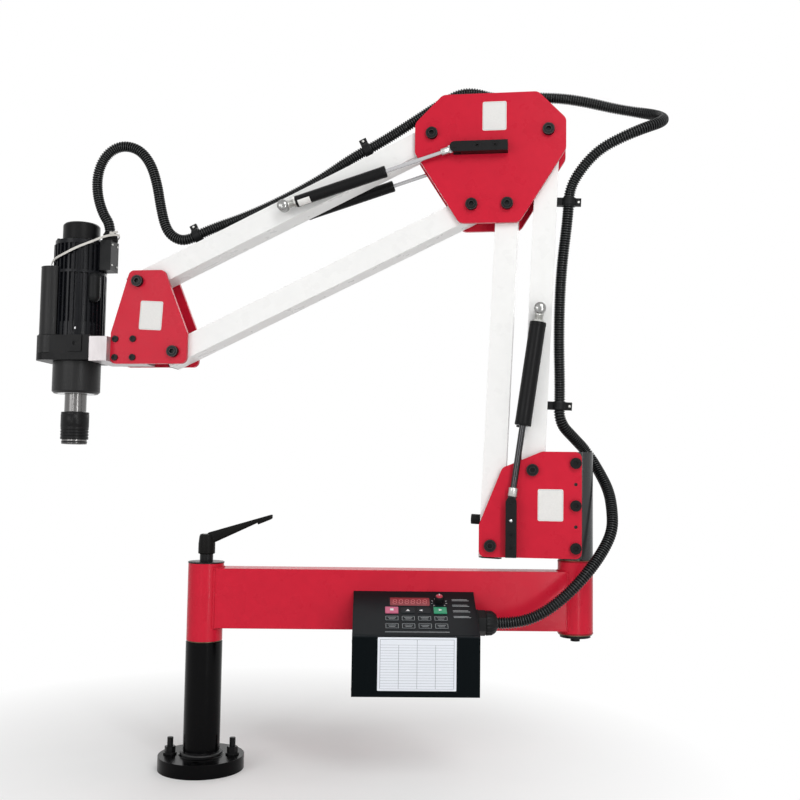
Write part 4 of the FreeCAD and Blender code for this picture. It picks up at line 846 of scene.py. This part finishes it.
def build_beam():
    bm = bmesh.new()
    corner_out = math.sqrt(HUB_RADIUS ** 2 - BEAM_HALF_DEEP ** 2) + 0.9
    limit = math.degrees(math.asin(BEAM_HALF_DEEP / HUB_RADIUS))
    for hub, out in ((0, 1), (BEAM_SPAN, -1)):
        for y in (-24.6, 24.6):
            bead(bm, [(hub + out * corner_out, y, z) for z in (BEAM_LOW + 1.5, BEAM_TOP - 1.4)])
        for z in (BEAM_TOP, BEAM_LOW):
            bead(bm, [(hub + out * x, y, z) for x, y in arc(HUB_RADIUS + 0.4, -limit, 2 * limit, 16)], 1.8)
    make_piece("beam_welds", bm, "red", "red_paint", "beam", sharp=70)

    turned_piece("hub_disc", *OXIDE, "beam",
                 [(11.8, 0.05), (30.2, 0.05), (30.6, 0.6), (30.4, 2.0), (29.6, 2.5), (12.4, 2.5),
                  (11.8, 2.0)],
                 [shift(z=HUB_TOP)], 64, add_ring)

    # end rings at the swivel hub's mouths, in a darker red that is painted shade
    bm = bmesh.new()
    for z, up in ((SWIVEL_TOP, 1), (SWIVEL_LOW, -1)):
        add_ring(bm, [(26, z - up * 2.5), (30.25, z - up * 2.5), (30.35, z - up * 0.8), (29.6, z), (26, z)],
                 shift(BEAM_SPAN), 64)
    make_piece("swivel_rims_painted_shade", bm, "red_painted_shade", "red_paint", "beam")


build_beam()

# ---- control box (x to the right, y up its panel)


def add_field(bm, centre, size, corner, steps, low, high):
    """A flat field with round corners on the panel."""
    add_outline(bm, rounded_box(*size, corner, steps, centre), low, high, PANEL)


def add_bar(bm, size, centre):
    add_slab(bm, size, centre, PANEL)


def build_display():
    """A bezel, a tinted window, and seven-segment digits in it."""
    centre = (93.5, -32.2)
    flat_piece("display_bezel", "key_dark", "panel_film", "beam", rounded_box(69.5, 26.8, 3, 5, centre),
               0.3, 0.9, PANEL, 0.25)
    flat_piece("display_window", "window", "red_key", "beam", rounded_box(65.3, 22.7, 1.6, 4, centre),
               0.8, 1.25, PANEL, 0.15)
    bm = bmesh.new()
    level, upright = (4.0, 1.1), (1.1, 4.6)
    segments = [(0, dy, level) for dy in (6.0, 0, -6.0)]
    segments += [(dx, dy, upright) for dy in (3.0, -3.0) for dx in (-2.7, 2.7)]
    for k in range(6):
        x = centre[0] + (k - 2.5) * 9.9
        for dx, dy, size in segments:
            if k % 3 == 1 and (dx, dy) == (0, 0):
                continue
            add_field(bm, (x + dx + dy * 0.08, centre[1] + dy), size, 0.45, 2, 1.2, 1.34)
    make_piece("display_digits", bm, "digit", "red_key", "beam")


def build_keys():
    """Two arrow keys and two rows of framed keys, with the marks and lines printed on the panel."""
    keys, marks, frames = bmesh.new(), bmesh.new(), bmesh.new()
    for x in KEY_COLUMNS[1:3]:
        add_field(keys, (x, KEY_ROW), (21.5, 16.5), 2.2, 4, 0.3, 1.2)
    for row, tall in ((-79.0, 12.6), (-100.0, 14.0)):
        edge = tall / 2 - 0.9
        lines = [(0, edge, 19.4, 0.5), (0, -edge, 19.4, 0.5), (-9.9, 0, 0.5, tall - 1.9),
                 (9.9, 0, 0.5, tall - 1.9), (0, 1.9, 13.0, 0.85), (0, -1.9, 10.0, 0.85)]
        for x in KEY_COLUMNS:
            add_field(keys, (x, row), (22.0, tall), 2.0, 4, 0.3, 0.95)
            for dx, dy, wide, high in lines:
                add_bar(frames, (wide, high, 0.12), (x + dx, row + dy, 0.98))
    make_piece("panel_keys", keys, "key_dark", "panel_film", "beam", rounding=0.25)

    # arrows on three keys, ticks round the knob, and a square on the stop key
    for x, top, points in ((KEY_COLUMNS[1], 1.22, [(0, 3.2), (-3.4, -2.2), (3.4, -2.2)]),
                           (KEY_COLUMNS[2] - 5, 1.22, [(-3.2, 0), (2.2, 2.8), (2.2, -2.8)]),
                           (KEY_COLUMNS[3], 2.45, [(3.4, 0), (-2.4, 3.2), (-2.4, -3.2)])):
        add_outline(marks, [(x + a, KEY_ROW + b) for a, b in points[::-1]], top - 0.05, top + 0.08, PANEL)
    for k in range(9):
        a = math.radians(225 - 33.75 * k)
        x, y = KNOB_AT[0] + 12.2 * math.cos(a), KNOB_AT[1] + 12.2 * math.sin(a)
        add_slab(marks, (2.6, 0.7, 0.14), (0, 0, 0), PANEL @ shift(x, y, 0.4) @ spun(a))
    add_bar(marks, (5.6, 5.6, 0.12), (KEY_COLUMNS[0], KEY_ROW, 2.46))
    make_piece("panel_marks", marks, "print", "panel_film", "beam")

    for y in (-114.6, -116.2):
        add_bar(frames, (102, 0.5, 0.12), (103, y, 0.38))
    for row in (-24, -40, -56, -72):
        for dy, wide in ((0, 25), (-3.2, 28)):
            add_bar(frames, (wide, 1.15, 0.12), (163.5 + wide / 2, row + dy, 0.38))
    make_piece("panel_frames", frames, "film_light", "panel_film", "beam")


def build_knob():
    """A fluted skirt, a red cap and a pointer."""
    place = PANEL @ shift(*KNOB_AT)
    bm = bmesh.new()
    add_fluted(bm, [(0.6, 7.5, 0.0), (1.6, 7.6, 0.3), (8.8, 7.0, 0.35), (11.4, 6.6, 0.25), (12.5, 6.1, 0.0)],
               16, 96)
    make_piece("knob_skirt", bm, "knob", "knob_plastic", "knob", place)
    turned_piece("knob_cap", "knob_red", "knob_plastic", "knob",
                 [(0, 12.3), (5.3, 12.3), (5.5, 12.8), (5.1, 13.6), (3.9, 14.0), (0, 14.1)], [place], 40)
    bm = bmesh.new()
    add_slab(bm, (0.9, 3.8, 0.5), (0, 2.9, 14.1), place)
    make_piece("knob_pointer", bm, "print", "panel_film", "knob", rounding=0.1)


def build_panel():
    """A slightly raised overlay with round corners, and what stands on it."""
    flat_piece("panel_overlay", "film", "panel_film", "beam", rounded_box(196, 120.5, 5, 6, (101, -63.3)),
               0.02, 0.35, PANEL)
    build_display()
    build_keys()
    build_knob()


def build_sheet():
    """The ruled sheet on the case's front, with empty cells."""
    flat_piece("table_sheet", "paper", "panel_film", "beam", rounded_box(124.0, 82.6, 1.2, 4, (354.0, 199.1)),
               0.02, 0.4, CASE_FACE)
    bm = bmesh.new()
    rows = 16
    left, right, top, bottom, head = 296.0, 412.0, 228.5, 161.0, 237.0
    columns = ((left, head), (325.0, top), (354.0, head), (383.0, top), (right, head))
    rules = [(x - 0.3, x + 0.3, bottom, z) for x, z in columns]
    for k in range(rows + 1):
        z = bottom + (top - bottom) * k / rows
        rules.append((left, right, z - 0.17, z + 0.17))
    rules.append((left, right, head - 0.3, head + 0.3))
    for x0, x1, z0, z1 in rules:
        add_slab(bm, (x1 - x0, z1 - z0, 0.1), ((x0 + x1) / 2, (z0 + z1) / 2, 0.42), CASE_FACE)
    make_piece("table_rules", bm, "rule", "panel_film", "beam")


def pan_screw(bm, place, radius):
    """A small cross-recessed screw, its head along +Z of the place."""
    add_lathe(bm, [(0, -0.2), (radius, -0.2), (radius, 0.5), (radius * 0.85, 1.1), (radius * 0.5, 1.5),
                   (0, 1.6)], place, 24)
    for turn in (0, math.pi / 2):
        add_slab(bm, (radius * 1.1, radius * 0.22, 0.3), (0, 0, 1.55), place @ spun(turn))


def build_case():
    bm = bmesh.new()
    flat = FACING["X"] @ Matrix.Diagonal((1, 1, 0.22, 1))
    for x, turn in ((CASE_LEFT, math.pi), (CASE_RIGHT, 0)):
        for y, z in ((-36, 158), (-36, 275), (-128, 158), (-128, 232)):
            pan_screw(bm, shift(x, y, z) @ spun(turn) @ flat, 3.2)
    make_piece("case_screws", bm, *OXIDE, "beam")

    # gland: a ribbed nut, and a washer against the case
    place = shift(CASE_RIGHT, GLAND_Y, GLAND_Z) @ FACING["X"]
    bm = bmesh.new()
    add_fluted(bm, [(15.2, 18.4, 0.0), (16.4, 20.1, 0.5), (25.0, 19.4, 0.5), (30.0, 16.6, 0.3),
                    (32.8, 14.2, 0.0)], 20, 120)
    make_piece("gland_dome", bm, *MOULDING, "beam", place)
    turned_piece("gland_washer", "rubber", "rubber", "beam",
                 [(13, 0.1), (21.8, 0.1), (21.8, 2.2), (21.0, 2.8), (13, 2.8)], [place], 40, add_ring)


build_panel()
build_sheet()
build_case()

# ---- labels left blank


def blank_label(name, u, z, body, wide, tall, turn=0.0):
    """An unprinted label with a thin border on the outer face of a front plate."""
    place = in_arm(u, z, 0, -PLATE_OUT) @ FACING["-Y"] @ spun(turn)
    flat_piece(name, "label", "white_paint", body, rounded_box(wide, tall, 3, 5), 0.03, 0.3, place)
    bm = bmesh.new()
    rings = []
    for inset, corner in ((3, 2.2), (3.8, 1.9)):
        outline = rounded_box(wide - inset, tall - inset, corner, 5)
        rings.append([bm.verts.new(place @ Vector((x, y, 0.34))) for x, y in outline])
    skin(bm, rings, capped=False)
    make_piece(name + "_border", bm, "film_light", "white_paint", body)


blank_label("bracket_label", -42.5, 446.5, "bracket", 43, 54)
blank_label("elbow_label", -142, 1128, "elbow", 42, 52)
blank_label("head_label", -765.5, 778.5, "head", 43, 53, math.radians(-3))

# ---- tubes


def end_plug(bm, place, at, out):
    """A stepped plastic plug in a tube's open end."""
    for wide, tall, corner, low, high in ((39.2, 49.2, 3.2, 0, 2.2), (33, 43, 4, 2.2, 3.0)):
        ends = sorted((at + out * low, at + out * high))
        add_outline(bm, rounded_box(wide, tall, corner, 4), *ends, place)


def build_plugs(tube, place, length, body):
    bm = bmesh.new()
    end_plug(bm, place, -20, -1)
    end_plug(bm, place, length + 20, 1)
    make_piece(tube + "_plugs", bm, *MOULDING, body, rounding=0.6)


def build_clip_details(label, place, spots, body):
    """Two screws beside each clip, and the strap's two narrow bands round the conduit."""
    bm = bmesh.new()
    for at in spots:
        for side in (-1, 1):
            spot = place @ shift(CLIP_OFF + 17.2, side * 3.0, at)
            pan_screw(bm, spot @ spun(-side * math.pi / 2, "X"), 2.6)
    make_piece(label + "_screws", bm, *ZINC, body)
    turned_piece(label + "_bands", *MOULDING, body,
                 [(12.4, -1.2), (13.4, -1.0), (13.5, 0), (13.4, 1.0), (12.4, 1.2)],
                 [place @ shift(CLIP_OFF, 0, at + dz) for at in spots for dz in (-4.4, 4.4)], 40, add_ring)


build_plugs("rear_post", REAR_POST, POST_LENGTH, "back_post")
build_plugs("front_post", FRONT_POST, POST_LENGTH, "fore_post")
build_plugs("upper_arm", UPPER_ARM, FOREARM_LENGTH, "top_arm")
build_plugs("lower_arm", LOWER_ARM, FOREARM_LENGTH, "low_arm")
build_clip_details("post_clip", REAR_POST, POST_CLIPS, "back_post")
build_clip_details("arm_clip", UPPER_ARM, ARM_CLIPS, "top_arm")

# ---- gas springs


def build_spring(label, places, body, rod_body, top, length, radii):
    """One pair's cups, necks, end caps and rod ends; radii of the cylinder, its mouth, rod and fitting."""
    outer, mouth, rod, fitting = radii
    cups = [places[0] @ FACING["Y"], places[1] @ FACING["-Y"]]
    dome = [(10.1 * x, -8.4 - 4.9 * z) for x, z in arc(1, 75, -75, 5)]
    turned_piece(label + "_ball_cups", "cup", "bright_steel", body,
                 [(0, -13.3), *dome, (10.1, 6.0), (9.7, 7.6), (8.8, 9.2), (6.9, 9.3), (6.9, 8.0)], cups)

    # a threaded neck, with a jam nut against the cylinder's end
    neck = [(4.0, 8.4), (7.3, 8.6), (7.6, 9.4), (7.6, 12.2), (6.9, 12.8)]
    for i in range(6):
        z = 12.8 + i * 1.2
        neck += [(6.55, z + 0.15), (6.95, z + 0.6), (6.55, z + 1.05)]
    neck += [(6.6, 20.4), (4.0, 20.5)]
    bm = bmesh.new()
    for place in places:
        add_lathe(bm, neck, place, 40)
        add_outline(bm, circle(min(outer - 0.6, 10.2), 6), 20.2, 23.9, place)
    make_piece(label + "_necks", bm, *ZINC, body)

    bm = bmesh.new()
    for place in places:
        add_lathe(bm, [(3.0, 23.6), (outer - 1.4, 23.6), (outer + 0.1, 25.2), (outer + 0.25, 27.0),
                       (outer + 0.25, 30.0), (outer, 30.4), (outer - 0.2, 30.4)], place)
        add_lathe(bm, [(outer - 0.2, top - 7), (outer + 0.2, top - 6.8), (outer + 0.25, top - 1.4),
                       (outer - 0.5, top + 0.3), (mouth + 0.4, top + 0.5), (mouth, top - 0.4),
                       (mouth, top - 5.0)], place)
    make_piece(label + "_end_caps", bm, "black_alu", "black_paint", body)

    # the bright fitting that screws onto the rod
    end = length - 10.5
    turned_piece(label + "_rod_ends", *ZINC, rod_body,
                 [(rod, end - 15.6), (fitting - 0.6, end - 15.4), (fitting + 0.15, end - 14.4),
                  (fitting + 0.2, end - 13.0), (fitting + 0.2, end - 1.2), (fitting - 0.6, end + 0.2),
                  (rod, end + 0.3)], places, 40)


def spring_label():
    """A small unprinted label curved round the front arm cylinder."""
    outline = arc(10.75, -82, 74, 10) + arc(10.2, -82, 74, 10)[::-1]
    flat_piece("spring_label", "label", "white_paint", "arm_cylinders", outline, 28.5, 51.0, ARM_SPRINGS[0])


build_spring("post_spring", POST_SPRINGS, "post_cylinders", "post_rods", 203, 336.16, (14.0, 6.6, 5.5, 8.0))
build_spring("arm_spring", ARM_SPRINGS, "arm_cylinders", "arm_rods", 194, 322.99, (10.3, 8.9, 3.8, 6.5))
spring_label()

# ---- pivot bolts and the lugs' pins


def socket_rims(name, spots, body):
    """Lighter metal rings round the hexagon sockets of the pivot bolts, and round their heads."""
    bm = bmesh.new()
    for u, z in spots:
        place = in_arm(u, z, 0, -PLATE_OUT - PIN_HEAD_TALL) @ FACING["-Y"]
        add_ring(bm, [(5.1, -0.1), (5.8, -0.1), (5.7, 0.12), (5.2, 0.12)], place, 6)
        add_ring(bm, [(9.2, -0.2), (9.8, -0.2), (9.7, 0.10), (9.3, 0.10)], place)
    make_piece(name, bm, "edge", "black_steel", body)


def build_lug_details():
    """Pin heads on the lugs' forks, and a bright dowel on the lower pair."""
    sides = ((-LUG_OUT, "-Y"), (LUG_OUT, "Y"))
    for name, eye, body in (("post_pin_heads", POST_EYE, "bracket"), ("arm_pin_heads", ARM_EYE, "elbow")):
        turned_piece(name, *OXIDE, body,
                     [(0, -0.5), (3.4, -0.5), (3.4, 0.3), (2.8, 0.8), (0, 0.9)],
                     [in_arm(*eye, 0, y) @ FACING[axis] for y, axis in sides], 28)
    turned_piece("lug_dowels", "chrome", "bright_steel", "bracket",
                 [(0, -0.4), (2.6, -0.4), (2.5, 0.5), (1.6, 1.1), (0, 1.3)],
                 [in_arm(POST_EYE[0], POST_EYE[1] - 30, 0, y) @ FACING[axis] for y, axis in sides], 28)


ELBOW_PINS = [(ELBOW[0] + side * half, ELBOW[1] - drop)
              for half, drop in ((UPPER_HALF, 0), (LOWER_HALF, ROW_GAP)) for side in (-1, 1)]
socket_rims("elbow_bolt_rims", ELBOW_PINS, "elbow")
socket_rims("bracket_bolt_rims", (FOOT, HEEL), "bracket")
socket_rims("head_bolt_rims", (WRIST, (WRIST[0] - ROW_OFFSET, WRIST[1] + ROW_GAP)), "head")
build_lug_details()

# ---- head


def spindle_ring(name, finish, slot, body, profile, low=0.0, segments=64):
    """A ring round the spindle's axis, its profile given above a height."""
    turned_piece(name, finish, slot, body, [(radius, low + z) for radius, z in profile], [SPINDLE], segments,
                 add_ring)


def build_motor_details():
    """Corner screws, a bright terminal screw, the clamp's screw and the cap's skirt."""
    turned_piece("motor_screws", *OXIDE, "head",
                 [(0, -0.3), (3.6, -0.3), (3.6, 2.4), (3.0, 3.0), (1.8, 3.0), (1.7, 1.4), (0, 1.4)],
                 [SPINDLE @ shift(x, y, CLAMP_TOP + z - 0.2) for x, y in arc(42.5, 45, 270, 3)
                  for z in (MOTOR_FOOT_TALL, MOTOR_TALL)], 24)
    bm = bmesh.new()
    side = SPINDLE @ spun(math.radians(-70)) @ shift(46.5, 0, CLAMP_TOP + 13.5)
    pan_screw(bm, side @ FACING["X"], 2.9)
    make_piece("earth_screw", bm, "chrome", "bright_steel", "head")
    turned_piece("clamp_screw", *OXIDE, "head",
                 [(3.9, -3.0), (3.9, -1.2), (3.3, -0.9), (2.2, -0.9), (2.0, -2.4), (0, -2.4)],
                 [SPINDLE @ shift(20, -54, CLAMP_TOP - 15.5) @ FACING["-Y"]], 24)
    spindle_ring("spindle_seal", "ground", "bright_steel", "head",
                 [(20.9, -0.4), (33, -0.4), (34, 0.6), (20.9, 0.8)], HOUSING_LOW)
    spindle_ring("cap_skirt", "black_alu", "black_alu", "head",
                 [(33.6, 0.1), (36.0, 0.1), (36.4, 1.2), (35.6, 3.2), (34.2, 3.9), (33.6, 3.9)],
                 CLAMP_TOP + MOTOR_TALL, 72)


def build_cover_bands():
    """Bands at the side cover's foot and top, as a drawn can has."""
    bm = bmesh.new()
    for z, radius in ((0.4, 21.6), (126.6, 21.3)):
        outline = arc(radius, 140, 185, 40) + arc(0.93 * radius, 140, 185, 40)[::-1]
        add_outline(bm, outline, 0, 2.2, SPINDLE @ shift(*COVER_AT, CLAMP_TOP + z))
    make_piece("cover_bands", bm, "grey_alu", "black_alu", "head", rounding=0.4)


def build_connector_details():
    """A ribbed boot on the connector's collar and four cover screws."""
    profile = [(11.6, 0.2), (14.4, 0.3)]
    for i in range(4):
        z, radius = 1.6 + i * 3.4, 14.6 - 0.5 * i
        profile += [(radius, z), (radius, z + 1.8), (radius - 1.4, z + 2.2), (radius - 1.4, z + 3.0)]
    profile += [(11.4, 16.4), (10.0, 16.8)]
    turned_piece("connector_boot", "rubber", "rubber", "head", profile,
                 [SPINDLE @ shift(CONNECTOR_COLLAR_AT, 0, CLAMP_TOP + CONNECTOR_TOP)])
    bm = bmesh.new()
    for z in (CLAMP_TOP + 136, CLAMP_TOP + 175):
        for y in (-11, 11):
            pan_screw(bm, SPINDLE @ shift(CONNECTOR_REACH, y, z) @ FACING["X"], 2.2)
    make_piece("connector_screws", bm, *ZINC, "head")


def build_chuck():
    """Fine knurling on the chuck's collar, a retaining ring and a lip at its mouth."""
    bm = bmesh.new()
    profile = ((22.5, 25.04), (23.0, 25.44), (45.5, 25.44), (46.0, 25.04))
    add_fluted(bm, [(z, radius, -0.08) for z, radius in profile], 90, 180, False)
    make_piece("collar_knurl", bm, *OXIDE, "collar",
               SPINDLE @ shift(z=COLLAR_LOW), sharp=80)
    spindle_ring("chuck_ring", *OXIDE, "spindle",
                 [(20.0, -6.4), (23.05, -6.4), (23.3, -5.6), (23.3, -4.2), (22.9, -3.6), (20.0, -3.6)],
                 COLLAR_LOW)
    spindle_ring("chuck_lip", *OXIDE, "spindle",
                 [(15.4, -9.05), (21.8, -9.05), (22.9, -8.0), (22.9, -7.0), (15.4, -7.0)], COLLAR_LOW)


def build_tie():
    """The nylon tie round the motor and its side cover, pulled up to the conduit's collar."""
    spots = [(-51.5, 4, 134.5), (-50.5, -15, 135), (-43, -30, 138), (-30, -43, 144), (-10, -51, 150),
             (14, -51, 162), (38, -37, 176), (58, -22, 190), (73, -8, 195), (75, 6, 195), (61, 21, 190),
             (38, 37, 180), (14, 51, 167), (-10, 51, 154), (-30, 43, 144), (-44, 27, 137)]
    strap = ((-0.6, -2.0), (0.5, -2.1), (0.75, 0), (0.5, 2.1), (-0.6, 2.0))
    route = [(SPINDLE @ Vector((x, y, CLAMP_TOP + z))) * MM for x, y, z in spots]
    centres = [point * 1000 for point in curve_points("tie_line", route, 12, True)]
    bm = bmesh.new()
    sweep_rings(bm, centres, lambda i: strap, True, SPINDLE.translation)
    make_piece("cable_tie", bm, "nylon", "white_paint", "head", sharp=60)
    bm = bmesh.new()
    place = SPINDLE @ shift(66.5, -15, CLAMP_TOP + 195.5) @ spun(math.radians(52))
    add_slab(bm, (7.5, 4.6, 6.0), (0, 0, 0), place)
    add_slab(bm, (10, 1.2, 3.8), (8.0, -1.0, 1.2), place @ spun(math.radians(-18), "Y"))
    make_piece("tie_head", bm, "nylon", "white_paint", "head", rounding=0.5)


build_motor_details()
build_cover_bands()
build_connector_details()
build_chuck()
build_tie()

# ---- floor, light and world

WORLD_LIGHT = 0.34
WHITE = (1, 1, 1, 1)


def build_world():
    world = bpy.data.worlds.new("world")
    bpy.context.scene.world = world
    world.use_nodes = True
    sky = Nodes(world.node_tree)
    sky.tree.nodes.clear()
    lit = sky.add("ShaderNodeBackground", Color=WHITE, Strength=WORLD_LIGHT)
    shown = sky.add("ShaderNodeBackground", Color=WHITE, Strength=1.0)
    out = sky.add("ShaderNodeOutputWorld")
    sky.mix_shaders(sky.seen_directly(), lit.outputs[0], shown.outputs[0], out.inputs["Surface"])


def build_floor():
    """A pale floor that fades into the white backdrop further out."""
    bm = bmesh.new()
    bmesh.ops.create_grid(bm, x_segments=1, y_segments=1, size=12)
    mesh = bpy.data.meshes.new("floor")
    bm.to_mesh(mesh)
    bm.free()
    s = Shader("pale_floor")
    s.bsdf.inputs["Roughness"].default_value = 0.9
    s.bsdf.inputs["Specular IOR Level"].default_value = 0.1
    grain = s.noise(9.0, 3.0)
    s.link(s.mix(s.ramp(grain, 0, 1), (0.90, 0.90, 0.895), (0.92, 0.92, 0.915)), s.bsdf.inputs["Base Color"])
    shown = s.add("ShaderNodeEmission", Color=WHITE, Strength=1.0)
    centre = s.add("ShaderNodeVectorMath")
    centre.operation = "SUBTRACT"
    centre.inputs[1].default_value = (0.1, 0.1, 0)
    s.link(s.place, centre.inputs[0])
    length = s.add("ShaderNodeVectorMath")
    length.operation = "LENGTH"
    s.link(centre.outputs["Vector"], length.inputs[0])
    fade = s.math("MULTIPLY", s.ramp(length.outputs["Value"], 0, 1, 0.08, 0.80), s.seen_directly())
    out = s.tree.nodes["Material Output"]
    s.mix_shaders(fade, s.bsdf.outputs[0], shown.outputs[0], out.inputs["Surface"])
    mesh.materials.append(s.material)
    new_object("floor", mesh)


def area(name, at, target, size, power, size_y=None):
    data = bpy.data.lights.new(name, "AREA")
    data.shape = "RECTANGLE"
    data.size = size
    data.size_y = size_y or size
    data.energy = power
    lamp = new_object(name, data)
    lamp.location = at
    lamp.rotation_euler = (Vector(target) - Vector(at)).to_track_quat("-Z", "Y").to_euler()


build_world()
build_floor()
area("key", (0.9, -2.3, 2.3), (0.25, 0, 0.5), 1.2, 26)
area("fill", (-1.5, -1.6, 1.1), (0.1, 0, 0.6), 1.0, 8)
area("rim", (0.4, 2.0, 1.9), (0.2, 0, 0.6), 1.8, 14)
area("strip_right", (0.9, -1.45, 0.6), (0.2, 0, 0.5), 0.12, 6, 1.16)
area("strip_left", (-0.55, -1.5, 0.75), (-0.2, 0.1, 0.6), 0.10, 2.5, 0.9)
bpy.context.scene.view_settings.view_transform = "Standard"
